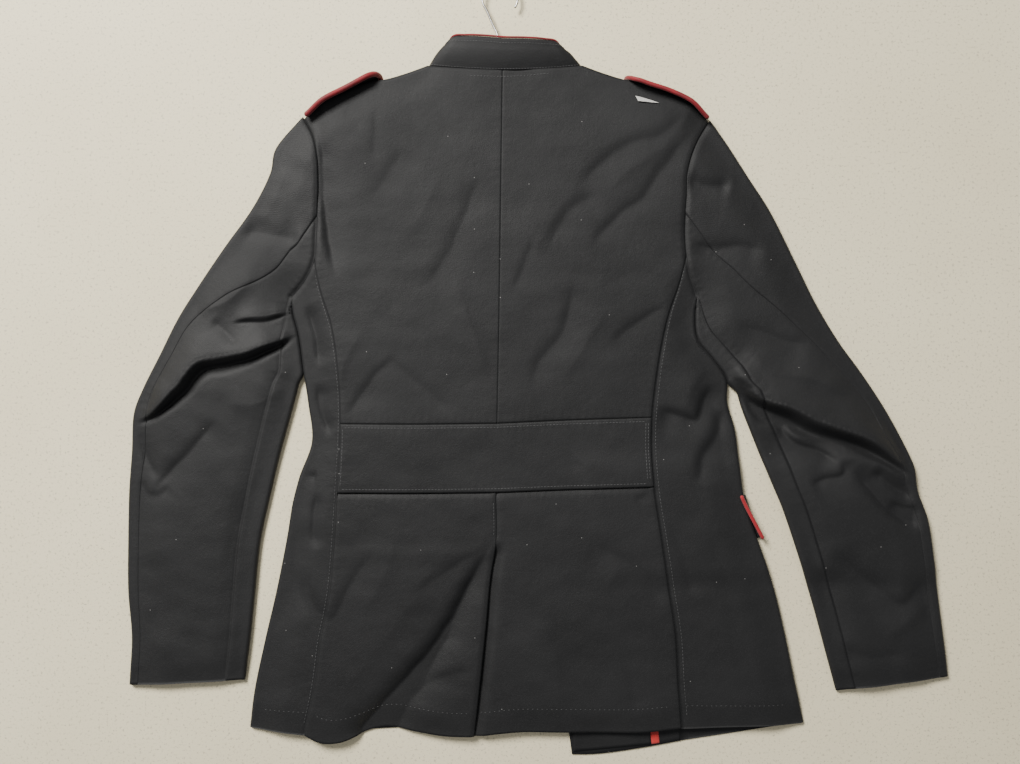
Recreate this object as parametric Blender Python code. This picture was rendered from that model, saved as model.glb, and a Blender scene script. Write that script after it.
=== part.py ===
# Stand-collar jacket lying flat on its front: fronts on the floor, back panels above them,
# sleeves beside the body. Photo right is +X, the collar end is +Y, the floor is z = 0.
# All tables and sizes are in millimetres. Meshes are made in metres.

import math

import bmesh
import bpy
import numpy as np

COLLECTION = "blazer"
MM = 0.001

# Cloth and seams
CLOTH = 2.0                 # wall of a panel with its lining
SEAM_GAP = 0.3              # space left between two pieces at a seam
FOLD_RADIUS = 4.0           # round of the cloth at a side or sleeve edge
FLAP_CLOTH = 1.6
FACING_CLOTH = 1.2
BINDING_CLOTH = 1.5

# Heights of the upper layer's outer face above the floor
EDGE_HEIGHT = 2 * FOLD_RADIUS
SHOULDER_HEIGHT = 10.0
SHOULDER_GAP = 0.9          # the front meets the back this far below it
BODY_HEIGHT = 12.0
PAD_HEIGHT = 6.0            # shoulder pads add this
PAD_PLACES = ((-165, 335), (175, 335))
NECK_HEIGHT = 3.0           # the stiff neck adds this
PAD_SPREAD = (62.0, 45.0)
EDGE_REACH = 38.0           # the cloth rises from an edge over this distance
LEAST_HEIGHT = 5.6          # the upper layer never sinks below this
BELT_RAISE = 0.8
FOLD_FADE = 18.0            # large folds flatten towards an edge over this distance
FRONT_RISE = 20.0           # the fronts rise to the back within this distance
FLAP_RISE = 26.0            # the front rises over the pocket flap within this distance
LINING_GAP = 2.4            # room between the two skirts at the vent's edge

# Neck and collar
NECK_X = 5.5
NECK_Y = 406.5
NECK_HALF = 84.0
BACK_NECK_DROP = 4.0
FRONT_NECK_DROP = 66.0
COLLAR_CLOTH = 1.8
COLLAR_BULGE = 2.0

# Trim
STRAP_WIDTH = 36.0
STRAP_TOP = 28.0
STRAP_ROUND = 0.8           # the free end is this much flatter than a half round
PIPING_RADIUS = 2.0
COLLAR_PIPING_RADIUS = 1.1
BINDING_WIDTH = 9.0
WIRE_RADIUS = 1.25
HANGER_HEIGHT = 3.65        # centre of the wire on the fronts
HOOK_RADIUS = 19.5
HOOK_Y = 483.0
HOOK_HEIGHT = 8.0
LABEL_GAP = 0.9
LABEL_CLOTH = 1.0
UNDERLAP = 35.0
FRONT_DROP = 16.0           # the right front hangs this far below its side seam
FLAP_LENGTH = 130.0

# Divisions, counted between rows of points
TOP_COLUMNS = 5             # upper sleeve, shoulder point to elbow seam
UNDER_COLUMNS = 7           # under sleeve
SLEEVE_ROWS = 22
ARC_STEPS = 4
CURVE_SAMPLES = 1500
SHOULDER_STEPS = 6
NECK_STEPS = 6
BACK_ROWS = 9               # side seam, armhole to belt
BELT_ROWS = 3
SKIRT_ROWS = 11
PRINCESS = 9                # armhole point where the back seam starts
LOWER_COLUMNS = [0, 2, 4, 6, PRINCESS, 11, 13]

# Armholes from shoulder point to underarm (x, y)
ARMHOLE = {
    "left": [(-214, 351), (-204, 332), (-199, 310), (-198, 284), (-199, 249), (-200, 225),
             (-203, 194), (-212, 176), (-223, 163), (-228, 158)],
    "right": [(228, 347), (215, 325), (208, 308), (204, 291), (203, 266), (201, 232),
              (203, 200), (207, 180), (213, 165), (215, 158)],
}

# Back seams from the armhole to the hem (x, y). Counted with the armhole's own point as knot 0, the
# belt's top and foot are the knots named below
PRINCESS_SEAM = {
    "left": [(-196, 165), (-184, 127), (-177, 83), (-174, 18), (-177, -57), (-181, -125),
             (-185, -168), (-194, -213), (-201, -266), (-213, -321)],
    "right": [(194, 167), (185, 142), (170, 70), (165, 25), (167, -50), (174, -98),
              (183, -159), (191, -213), (194, -270), (198, -314)],
}
BELT_TOP_KNOT = 4
BELT_FOOT_KNOT = 5

# Outlines of the body's sides, underarm to hem (x, y)
BODY_EDGE = {
    "left": [(-227, 140), (-222, 121), (-214.5, 70), (-210, 40), (-206, -1), (-220, -41),
             (-227, -68), (-232, -99), (-244, -161), (-258, -222), (-269, -275), (-274, -314)],
    "right": [(214, 140), (217, 110), (234, 88), (248, 67), (249, 42), (257, 13), (262, -25),
              (267, -62), (278, -98), (286, -120), (298, -155), (312, -212), (322, -260), (333, -309)],
}

# Sleeve stations from armhole to cuff: outer outline, inner outline, and how far across the elbow seam lies
SLEEVE_FIELDS = ("outer_x", "outer_y", "inner_x", "inner_y", "elbow")
SLEEVE = {
    "left": [
        (-245, 320, -229.5, 149, 0.60), (-252, 291, -229.0, 144, 0.58), (-271, 254, -228.7, 136, 0.55),
        (-301, 212, -226.7, 125, 0.43), (-328, 172, -224.7, 112, 0.23), (-352, 134, -221.5, 94, 0.09),
        (-372, 94, -218.5, 73, 0.06), (-391, 56, -222, 53, 0.05), (-401, 28, -230, 23, 0.07),
        (-403, -13, -241, -17, 0.07), (-406, -57, -251, -59, 0.06), (-407, -109, -262, -110, 0.06),
        (-407, -164, -268, -166, 0.06), (-403, -216, -273, -215, 0.05), (-406, -267, -279, -262, 0.05),
    ],
    "right": [
        (250, 322, 216.5, 145, 0.55), (271, 289, 217.5, 134, 0.54), (296, 250, 220.5, 119, 0.48),
        (319, 204, 228.5, 102.5, 0.40), (345, 151, 239, 90, 0.27), (370, 109, 249.5, 77, 0.17),
        (394, 76, 258, 56, 0.12), (416, 43, 265.5, 32, 0.08), (435, 10, 276, 5, 0.09),
        (452, -26, 288, -25, 0.06), (457, -56, 298, -49, 0.05), (468, -87, 310, -78, 0.05),
        (475, -134, 327, -129, 0.05), (481, -182, 343, -182, 0.05), (487, -228, 357, -234, 0.05),
        (491, -258, 368, -274, 0.05),
    ],
}
ARMHOLE_ELBOW = 0.535       # share of the armhole's length above the elbow seam
ARMHOLE_INSEAM = 0.95
LEAST_ELBOW = 0.045
INSEAM = 0.86               # share of the sleeve's width, from the elbow down

SHOULDER = {
    "left": [(-214, 351), (-197, 356), (-169, 368), (-127, 388), (-104, 397)],
    "right": [(228, 347), (205, 357), (175, 369), (137, 386), (115, 396)],
}
CENTRE_SEAM = [(3, 402), (1, 262), (-1, 120), (-3, 18.5), (-4, -56), (-4, -110),
               (-10, -147), (-15, -200), (-22, -267), (-28, -323)]
CENTRE_BELT_TOP = 3
CENTRE_BELT_FOOT = 4
VENT_TOP_Y = -110.0
VENT_EASE = 14.0            # the underlap drops below the left skirt within this distance

BELT_TOP = {"left": [(-84, 17.5)], "right": [(74, 22)]}
BELT_FOOT = {"left": [(-84, -57)], "right": [(74, -53)]}
HEM = {
    "left": [(-196, -329), (-175, -329), (-159, -324), (-138, -316), (-125, -314), (-92, -318), (-63, -322)],
    "right": [(15, -318), (74, -318), (154, -318)],
}
FRONT_EDGE = {
    "left": [(3.5, 340), (22, 120), (36, -60), (45, -312)],
    "right": [(7.5, 340), (30, 150), (52, -60), (70, -240), (76, -322), (79, -345)],
}
FRONT_HEM = {"left": [(-84, -314)], "right": [(96, -345), (154, -338)]}

# Right half of the collar stand, from the centre back round to the centre front: neck seam, then
# upper edge, with x from the neck's middle
COLLAR_FIELDS = ("seam_x", "seam_y", "seam_z", "edge_x", "edge_y", "edge_z")
COLLAR = [
    (0, 403.0, 15.0, 0, 431.0, 29.0),
    (28, 403.4, 14.2, 20, 430.7, 28.1),
    (56, 404.7, 12.2, 39, 429.7, 25.4),
    (75, 406.2, 10.6, 52, 428.2, 21.3),
    (82, 407.7, 8.6, 58, 426.8, 17.2),
    (84, 408.3, 5.6, 59.5, 426.0, 13.2),
    (81.3, 402.5, 3.4, 57, 423.5, 9.0),
    (75.8, 391.5, 1.6, 52, 414.0, 5.0),
    (70.6, 375.0, 0.3, 45, 402.0, 2.2),
    (41.5, 350.2, 0.0, 27, 384.0, 0.6),
    (2, 341.3, 0.0, 2.5, 377.0, 0.0),
]

# Straps stand on edge along the shoulder line: upper edge (x, y), from the sleeve to the free end
STRAP_EDGE = {
    "left": [(-203, 354), (-190, 364), (-160, 379), (-139, 391)],
    "right": [(217, 354), (204, 363), (183, 373), (158, 381), (146, 386)],
}
# Section of a strap: distance out from the shoulder line, height
STRAP_SECTION = [(-3, 1.3), (0, 1.4), (2.8, 2.6), (4.4, 6.5), (4.6, 14), (4.6, STRAP_TOP)]
CREASE_TOP = 4.0            # the strap leans from this height up

# The pocket flap's rear end: from this y to that, wrapped up to this angle over the side
FLAP_TOP_Y = -61.0
FLAP_FOOT_Y = -109.0
FLAP_ANGLE = 38.0
FLAP_FRONT = 58.0           # the front lies on the floor again short of this x
FLAP_REACHES = (FLAP_LENGTH, 90.0, 50.0, 20.0)
FLAP_TURNS = 7

# Hanger wire: shank and arms (x, y, height), and the bar that lies on the fronts (x, y)
HANGER_SHANK = [(-3, 399.7, 9.0), (-3, 425, 9.5), (-3, 443, 8.5), (-8, 454, 8.0)]
HANGER_ARMS = {
    "left": [(-3, 398, 9.0), (-60, 378, 8.3), (-98, 364, 7), (-135, 346, 5.8), (-176, 328, 5.2)],
    "right": [(182, 326, 5.2), (137, 346, 5.8), (98, 364, 7), (60, 378, 8.3)],
}
HANGER_BAR = [(-186, 320), (-172, 315), (-60, 313), (60, 313), (178, 312), (192, 318)]

LABEL_CORNERS = [(147, 374), (163, 369.5), (150, 368), (173, 366)]
FACING_CORNERS = [(76, -262), (158, -258), (80.5, -341), (166, -333)]

# Large folds of the upper layer: points (x, y), half width, and depth, which is negative for a trough
FOLD_FIELDS = ("points", "reach", "depth")
FOLDS = [
    ([(-224, 119), (-286, 92), (-329, 84), (-354, 56), (-390, 26)], 15, -4.5),
    ([(-224, 132), (-286, 108), (-332, 102), (-366, 74)], 16, 3.0),
    ([(-226, 146), (-262, 136), (-290, 128)], 12, -2.5),
    ([(-309, 22), (-343, -15), (-371, -50)], 16, -2.5),
    ([(-290, 10), (-322, -32), (-352, -72)], 16, 2.5),
    ([(-281, 232), (-250, 225), (-216, 219)], 18, -2.0),
    ([(-191, 325), (-190, 290), (-190, 250), (-183, 205)], 11, -2.5),
    ([(228, 100), (262, 64), (309, 40), (326, 14), (380, -7), (440, -33)], 16, -4.5),
    ([(236, 118), (276, 82), (318, 60), (346, 34), (392, 14), (432, -2)], 17, 3.0),
    ([(330, -10), (362, -34), (345, -48)], 13, -2.5),
    ([(384, -30), (421, -72), (455, -92)], 15, -2.5),
    ([(363, -118), (401, -154), (439, -178), (462, -152)], 17, -2.5),
    ([(200, 352), (180, 336), (133, 319), (110, 302), (83, 273)], 15, -3.0),
    ([(205, 330), (183, 304), (152, 262), (140, 243), (110, 227)], 15, -3.0),
    ([(196, 342), (160, 310), (128, 275)], 14, 2.5),
    ([(110, 269), (81, 254), (51, 210)], 17, -2.0),
    ([(-20, 293), (-40, 243), (-61, 195), (-85, 163)], 20, -2.5),
    ([(-102, 319), (-141, 260)], 20, -2.0),
    ([(83, 172), (66, 113), (39, 77), (36, 54)], 18, -3.0),
    ([(183, 147), (152, 130), (119, 104)], 16, -3.0),
    ([(-111, 92), (-129, 77), (-165, 30)], 15, -2.5),
    ([(-125, 92), (-64, 39), (-50, 24)], 15, -2.5),
    ([(-52, 181), (-23, 98), (-14, 68)], 20, 2.0),
    ([(232, 50), (215, 28), (180, 30)], 15, -3.0),
    ([(246, 34), (232, -1), (217, -49)], 14, -3.0),
    ([(-196, 31), (-184, 8)], 12, -2.0),
    ([(-221, -88), (-222, -147), (-209, -189)], 14, -2.0),
    ([(-209, -136), (-206, -174), (-185, -190), (-161, -154), (-136, -120)], 17, -3.0),
    ([(-14, -122), (-45, -163), (-71, -208), (-97, -237), (-140, -293)], 19, -5.0),
    ([(-30, -108), (-66, -150), (-96, -196), (-130, -240), (-162, -290)], 20, 4.0),
    ([(-27, -250), (-58, -256), (-97, -278)], 14, -2.0),
    ([(183, -84), (202, -136), (210, -174)], 15, -2.5),
    ([(95, -110), (127, -126), (159, -150), (180, -189)], 22, -3.0),
    ([(40, -190), (60, -240), (64, -300)], 24, 2.5),
]

COLOUR_FIELDS = ("colour", "roughness", "metallic")
COLOURS = {
    "cloth": ((0.021, 0.021, 0.024), 0.85, 0.0),
    "piping": ((0.24, 0.008, 0.018), 0.7, 0.0),
    "label": ((0.8, 0.79, 0.76), 0.8, 0.0),
    "wire": ((0.45, 0.45, 0.44), 0.35, 1.0),
}


# Curves in the plan

def spline(points, knots, places):
    # a smooth curve through the points, whose knots say where each point lies
    points = np.asarray(points, float)
    slopes = np.gradient(points, knots, axis=0, edge_order=1)
    i = np.clip(np.searchsorted(knots, places, side="right") - 1, 0, len(knots) - 2)
    span = (knots[i + 1] - knots[i])[:, None]
    t = ((places - knots[i])[:, None]) / span
    return ((2 * t**3 - 3 * t**2 + 1) * points[i] + (t**3 - 2 * t**2 + t) * span * slopes[i]
            + (3 * t**2 - 2 * t**3) * points[i + 1] + (t**3 - t**2) * span * slopes[i + 1])


def lengths(points):
    return np.concatenate([[0.0], np.cumsum(np.linalg.norm(np.diff(points, axis=0), axis=1))])


def trace(points, stretches):
    # points spaced evenly along a smooth curve, in stretches of (last knot, number of steps)
    points = np.asarray(points, float)
    knots = lengths(points)
    places = np.linspace(0, knots[-1], CURVE_SAMPLES)
    dense = spline(points, knots, places)
    run = lengths(dense)
    knot_run = np.interp(knots, places, run)
    stops = [0.0]
    for last, steps in stretches:
        stops += list(np.linspace(stops[-1], knot_run[last], steps + 1)[1:])
    return np.column_stack([np.interp(stops, run, dense[:, k]) for k in range(dense.shape[1])])


def even(points, steps):
    return trace(points, [(len(points) - 1, steps)])


def side_way(curve):
    # unit vectors square to a plan curve: +X beside one that runs down, +Y beside one that runs right
    run = np.gradient(curve, axis=0)
    way = np.column_stack([-run[:, 1], run[:, 0]])
    return way / np.linalg.norm(way, axis=1)[:, None]


def square_ways(grid):
    # unit vectors square to a surface, each the mean over the cells round its point
    cells = np.cross(grid[1:, 1:] - grid[:-1, :-1], grid[1:, :-1] - grid[:-1, 1:])
    cells /= np.linalg.norm(cells, axis=2)[..., None]
    total = np.zeros_like(grid)
    for rows in (slice(0, -1), slice(1, None)):
        for columns in (slice(0, -1), slice(1, None)):
            total[rows, columns] += cells
    return total / np.linalg.norm(total, axis=2)[..., None]


def ease(t):
    t = np.clip(t, 0.0, 1.0)
    return t * t * (3 - 2 * t)


def distance(plan, line):
    # shortest distance from each plan point to a line, and how far along the line that is, 0 to 1
    plan, line = np.asarray(plan, float), np.asarray(line, float)
    start, step = line[:-1], np.diff(line, axis=0)
    run = lengths(line)
    gap = plan[..., None, :] - start
    share = np.clip((gap * step).sum(-1) / (step**2).sum(-1), 0, 1)
    apart = np.linalg.norm(gap - share[..., None] * step, axis=-1)
    nearest = apart.argmin(-1)
    share = np.take_along_axis(share, nearest[..., None], -1)[..., 0]
    along = (run[nearest] + share * (run[nearest + 1] - run[nearest])) / run[-1]
    return apart.min(-1), along


def patch(top, bottom, left, right, gaps):
    # plan points between four edges, drawn in by gaps (top, bottom, left, right)
    v = np.linspace(0, 1, len(left))[:, None, None]
    u = np.linspace(0, 1, len(top))[None, :, None]
    corners = ((1 - v) * ((1 - u) * top[0] + u * top[-1])
               + v * ((1 - u) * bottom[0] + u * bottom[-1]))
    grid = ((1 - v) * top[None] + v * bottom[None]
            + (1 - u) * left[:, None] + u * right[:, None] - corners)
    grid[0] -= side_way(top) * gaps[0]
    grid[-1] += side_way(bottom) * gaps[1]
    grid[:, 0] += side_way(left) * gaps[2]
    grid[:, -1] -= side_way(right) * gaps[3]
    return grid


# Layout of the seams and fold lines

def armhole_points(side):
    shares = np.concatenate([np.linspace(0, ARMHOLE_ELBOW, TOP_COLUMNS + 1),
                             np.linspace(ARMHOLE_ELBOW, ARMHOLE_INSEAM, UNDER_COLUMNS + 1)[1:], [1.0]])
    dense = even(ARMHOLE[side], CURVE_SAMPLES)
    run = lengths(dense) / lengths(dense)[-1]
    return np.column_stack([np.interp(shares, run, dense[:, k]) for k in (0, 1)])


def fold_line(edge, inward):
    # centre line of the round fold whose outline is the edge, and the way it faces
    way = side_way(edge) * inward
    return edge + way * FOLD_RADIUS, -way


def body_fold(side):
    inward = 1.0 if side == "left" else -1.0
    steps = BACK_ROWS + BELT_ROWS + SKIRT_ROWS
    underarm = armholes[side][-1]
    edge = even([underarm + (0.0, -FOLD_RADIUS)] + BODY_EDGE[side], steps)
    line, way = fold_line(edge, inward)
    line[0] = underarm
    way[0] = (0.0, -1.0)
    return line, way


def sleeve_folds(side):
    # outer and inner fold lines with the ways they face, and the elbow seam's share, row by row
    table = np.array(SLEEVE[side], float)
    armhole = armholes[side]
    inward = 1.0 if side == "left" else -1.0
    start_way = armhole[0] - armhole[1]
    start_way /= np.linalg.norm(start_way)
    start = np.concatenate([armhole[0] + start_way * FOLD_RADIUS, table[0, 2:4], [ARMHOLE_ELBOW]])
    table = np.vstack([start, table])
    rows = np.linspace(0, len(table) - 1, SLEEVE_ROWS + 1)
    knots = np.arange(len(table), dtype=float)
    values = spline(table, knots, rows)
    column = dict(zip(SLEEVE_FIELDS, values.T))
    outer, outer_way = fold_line(np.column_stack([column["outer_x"], column["outer_y"]]), inward)
    outer[0], outer_way[0] = armhole[0], start_way
    later = np.concatenate([[1.0], rows[rows > 1.0]])
    line, way = fold_line(spline(table[1:, 2:4], knots[1:], later), -inward)
    blend = rows[rows <= 1.0, None]
    inner = np.vstack([armhole[-1] * (1 - blend) + line[0] * blend, line[1:]])
    inner_way = np.vstack([np.array([0.0, -1.0]) * (1 - blend) + way[0] * blend, way[1:]])
    inner_way /= np.linalg.norm(inner_way, axis=1)[:, None]
    return {"outer": outer, "outer_way": outer_way, "inner": inner, "inner_way": inner_way,
            "elbow": np.clip(column["elbow"], LEAST_ELBOW, 1.0), "rows": rows}


armholes = {side: armhole_points(side) for side in ("left", "right")}
body_folds = {side: body_fold(side) for side in ("left", "right")}
sleeves = {side: sleeve_folds(side) for side in ("left", "right")}
neck_points = {"left": (NECK_X - NECK_HALF, NECK_Y), "right": (NECK_X + NECK_HALF, NECK_Y)}
shoulders = {side: even(SHOULDER[side] + [neck_points[side]], SHOULDER_STEPS) for side in ("left", "right")}


# Heights of the two layers

def lower_height(plan):
    # outer face of the lower layer: on the floor, and over the pocket flap
    fold = body_folds["right"][0]
    x, y = plan[..., 0], plan[..., 1]
    fold_x = np.interp(-y, -fold[:, 1], fold[:, 0])
    beyond = np.maximum(np.maximum(y - FLAP_TOP_Y, FLAP_FOOT_Y - y), fold_x - FLAP_LENGTH - x)
    level = ease(2 - beyond / FLAP_RISE)
    return (FLAP_CLOTH + SEAM_GAP) * level * ease((x - FLAP_FRONT) / FLAP_RISE)


def front_height(plan):
    # the fronts rise to meet the back along the shoulder lines
    apart = np.minimum(*(distance(plan, shoulders[side])[0] for side in ("left", "right")))
    meet = upper_height(plan) - 2 * CLOTH - SHOULDER_GAP
    floor = lower_height(plan)
    return floor + (meet - floor) * ease(1 - apart / FRONT_RISE)


def fold_shape(plan):
    # sum of the large folds, which fade towards their ends
    total = np.zeros(plan.shape[:-1])
    for row in FOLDS:
        fold = dict(zip(FOLD_FIELDS, row))
        apart, along = distance(plan, even(fold["points"], 12))
        fade = ease(np.minimum(along, 1 - along) * 5 + 0.25)
        total += fold["depth"] * np.exp(-(apart / fold["reach"]) ** 2) * fade
    return total


def bump(plan, place):
    # a soft mound over the place, 1 at its middle
    apart = (plan - np.array(place)) / np.array(PAD_SPREAD)
    return np.exp(-(apart**2).sum(-1))


def upper_height(plan):
    # outer face of the upper layer
    plan = np.asarray(plan, float)
    flat = BODY_HEIGHT + PAD_HEIGHT * sum(bump(plan, place) for place in PAD_PLACES)
    flat = flat + NECK_HEIGHT * bump(plan, (NECK_X, NECK_Y))
    lines = [fold for fold, _ in body_folds.values()]
    lines += [sleeve[edge] for sleeve in sleeves.values() for edge in ("outer", "inner")]
    apart = np.min([distance(plan, line)[0] for line in lines], axis=0)
    shoulder_apart = np.min([distance(plan, line)[0] for line in shoulders.values()], axis=0)
    drop = np.maximum((flat - EDGE_HEIGHT) * (1 - ease(apart / EDGE_REACH)),
                      (flat - SHOULDER_HEIGHT) * (1 - ease(shoulder_apart / EDGE_REACH)))
    folds = fold_shape(plan) * (0.25 + 0.75 * ease(np.minimum(apart, shoulder_apart) / FOLD_FADE))
    floor = lower_height(plan)
    return np.maximum(flat - drop + folds, LEAST_HEIGHT) + floor


# Building solids

def link(obj, kind):
    # give the object its own material and put it in the collection
    look = dict(zip(COLOUR_FIELDS, COLOURS[kind]))
    material = bpy.data.materials.new(obj.name + "_" + kind)
    material.use_nodes = True
    shader = material.node_tree.nodes["Principled BSDF"]
    shader.inputs["Base Color"].default_value = (*look["colour"], 1.0)
    shader.inputs["Roughness"].default_value = look["roughness"]
    shader.inputs["Metallic"].default_value = look["metallic"]
    obj.data.materials.append(material)
    bpy.data.collections[COLLECTION].objects.link(obj)


def cloth(name, outer, inward, thickness=CLOTH, kind="cloth", first_rows=None):
    # a wall of cloth: its outer points, moved by the thickness along the inward ways.
    # first_rows gives, column by column, the row where the cloth starts
    rows, columns = outer.shape[:2]
    inner = (outer + inward * thickness).reshape(-1, 3)
    mesh = bmesh.new()
    place = mesh.verts.layers.int.new("place")
    points = []
    for number, point in enumerate(outer.reshape(-1, 3)):
        points.append(mesh.verts.new(point * MM))
        points[-1][place] = number
    for i in range(rows - 1):
        for j in range(columns - 1):
            if first_rows is None or i >= first_rows[j]:
                a = i * columns + j
                mesh.faces.new([points[k] for k in (a, a + 1, a + columns + 1, a + columns)])
    bmesh.ops.delete(mesh, geom=[v for v in mesh.verts if not v.link_faces], context="VERTS")
    bmesh.ops.triangulate(mesh, faces=mesh.faces[:], quad_method="SHORT_EDGE")
    added = bmesh.ops.extrude_face_region(mesh, geom=mesh.faces[:])["geom"]
    for item in added:
        if isinstance(item, bmesh.types.BMVert):
            item.co = inner[item[place]] * MM
    bmesh.ops.recalc_face_normals(mesh, faces=mesh.faces[:])
    data = bpy.data.meshes.new(name)
    mesh.to_mesh(data)
    mesh.free()
    data.shade_smooth()
    data.set_sharp_from_angle(angle=math.radians(50))
    link(bpy.data.objects.new(name, data), kind)


def sheet(name, plan, height, way=-1.0, **options):
    # a panel whose outer face has the given heights; way -1 has its wall below that face
    outer = np.dstack([plan, height])
    inward = np.zeros_like(outer)
    inward[..., 2] = way
    cloth(name, outer, inward, **options)


def tube(name, points, radius, kind, cyclic=False):
    # a round cord or wire along the points
    curve = bpy.data.curves.new(name, "CURVE")
    curve.dimensions = "3D"
    curve.bevel_depth = radius * MM
    curve.bevel_resolution = 2
    curve.use_fill_caps = not cyclic
    line = curve.splines.new("POLY")
    line.points.add(len(points) - 1)
    for target, point in zip(line.points, points):
        target.co = (*(np.asarray(point) * MM), 1.0)
    line.use_cyclic_u = cyclic
    link(bpy.data.objects.new(name, curve), kind)


def turn(line, way, low, high):
    # the half round of a fold, from the upper layer to the lower one, row by row
    outer, inward = [], []
    for step in range(ARC_STEPS + 1):
        angle = math.pi / 2 - math.pi * step / ARC_STEPS
        plan = line + way * FOLD_RADIUS * math.cos(angle)
        z = (low + high) / 2 + (high - low) / 2 * math.sin(angle)
        outer.append(np.column_stack([plan, z]))
        inward.append(np.column_stack([-way * math.cos(angle), np.full(len(line), -math.sin(angle))]))
    return outer, inward


def layer(plan_columns, height, way):
    # columns of points at one layer
    outer = [np.column_stack([plan, height(plan)]) for plan in plan_columns]
    inward = [np.tile((0.0, 0.0, way), (len(plan), 1)) for plan in plan_columns]
    return outer, inward


def rolled(name, upper, fold, way, lower, last_fold=None, last_way=None, last_upper=()):
    # a panel that runs along the upper layer, round a fold and back along the lower layer,
    # and round a second fold where it has one. Each is a list of plan columns
    outer, inward = layer(upper, upper_height, -1.0)
    steps = [turn(fold, way, lower_height(fold), upper_height(fold)), layer(lower, lower_height, 1.0)]
    if last_fold is not None:
        up, up_way = turn(last_fold, last_way, lower_height(last_fold), upper_height(last_fold))
        steps += [(up[::-1], up_way[::-1]), layer(last_upper, upper_height, -1.0)]
    for points, ways in steps:
        if np.allclose(points[0], outer[-1], atol=1e-6):
            points, ways = points[1:], ways[1:]
        outer += points
        inward += ways
    cloth(name, np.stack(outer, 1), np.stack(inward, 1))


# Body

def princess_seams():
    seams = {}
    for side in ("left", "right"):
        points = [armholes[side][PRINCESS]] + PRINCESS_SEAM[side]
        stretches = [(BELT_TOP_KNOT, BACK_ROWS), (BELT_FOOT_KNOT, BELT_ROWS), (len(points) - 1, SKIRT_ROWS)]
        seams[side] = trace(points, stretches)
    return seams


def back_neck(steps):
    # the back neckline from the left neck point to the right one, lowest at its middle
    x = np.linspace(-1, 1, steps + 1)
    drop = BACK_NECK_DROP * (1 - x**2)
    return np.column_stack([NECK_X + NECK_HALF * x, NECK_Y - drop])


def front_neck(side, steps):
    # a quarter of an ellipse from the neck point to the centre front
    angle = np.linspace(0, math.pi / 2, steps + 1)
    out = -1.0 if side == "left" else 1.0
    x = NECK_X + out * NECK_HALF * np.cos(angle)
    x[-1] = FRONT_EDGE[side][0][0]
    return np.column_stack([x, NECK_Y - FRONT_NECK_DROP * np.sin(angle)])


def make_back(seams, centre):
    half = SEAM_GAP / 2
    neck = back_neck(2 * NECK_STEPS)
    last = PRINCESS + BACK_ROWS
    belt = {"top": {}, "foot": {}}
    for side in ("left", "right"):
        princess = seams[side]
        outside = np.vstack([armholes[side][:PRINCESS + 1], princess[1:BACK_ROWS + 1]])
        inside = centre[:last + 1]
        for level, row, middle in (("top", BACK_ROWS, BELT_TOP), ("foot", BACK_ROWS + BELT_ROWS, BELT_FOOT)):
            row_centre = centre[PRINCESS + row]
            line = even([princess[row], *middle[side], row_centre], SHOULDER_STEPS + NECK_STEPS)
            belt[level][side] = line if side == "left" else line[::-1]
        if side == "left":
            top = np.vstack([shoulders[side], neck[1:NECK_STEPS + 1]])
            top[-1] = centre[0]
            plan = patch(top, belt["top"][side], outside, inside, (0, half, half, half))
            plan[0, SHOULDER_STEPS:, 1] -= half
        else:
            top = np.vstack([neck[NECK_STEPS:-1], shoulders[side][::-1]])
            top[0] = centre[0]
            plan = patch(top, belt["top"][side], inside, outside, (0, half, half, half))
            plan[0, :NECK_STEPS + 1, 1] -= half
        sheet("back_" + side, plan, upper_height(plan))
    top = np.vstack([belt["top"]["left"], belt["top"]["right"][1:]])
    foot = np.vstack([belt["foot"]["left"], belt["foot"]["right"][1:]])
    ends = [seams[side][BACK_ROWS:BACK_ROWS + BELT_ROWS + 1] for side in ("left", "right")]
    plan = patch(top, foot, *ends, (half, half, half, half))
    sheet("belt_back", plan, upper_height(plan) + BELT_RAISE)
    return belt["foot"]


def make_skirts(seams, centre, belt_foot):
    half = SEAM_GAP / 2
    first = BACK_ROWS + BELT_ROWS
    columns = SHOULDER_STEPS + NECK_STEPS
    middle = centre[PRINCESS + first:]
    hem = {"left": even([seams["left"][-1], *HEM["left"], CENTRE_SEAM[-1]], columns),
           "right": even([CENTRE_SEAM[-1], *HEM["right"], seams["right"][-1]], columns)}
    plan = patch(belt_foot["left"], hem["left"], seams["left"][first:], middle, (half, 0, half, half))
    sheet("skirt_left", plan, upper_height(plan))

    # the right skirt passes under the left one at the vent
    plan = patch(belt_foot["right"], hem["right"], middle, seams["right"][first:], (half, 0, half, half))
    height = upper_height(plan)
    below = ease((VENT_TOP_Y - plan[:, 0, 1]) / VENT_EASE)
    plan[:, 0, 0] += below
    lapped = 2 * CLOTH + 2 * SEAM_GAP
    height[:, 0] += (lapped + LINING_GAP - height[:, 0]) * below
    reach = below[:, None] * np.array([UNDERLAP, UNDERLAP / 2])
    under = np.repeat(plan[:, :1], 2, axis=1)
    under[..., 0] -= reach
    under_height = np.full(reach.shape, lapped)
    start = int(np.argmax(below > 0.5))
    rows = [start, start] + [0] * columns
    sheet("skirt_right", np.hstack([under, plan]), np.hstack([under_height, height]), first_rows=rows)


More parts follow.
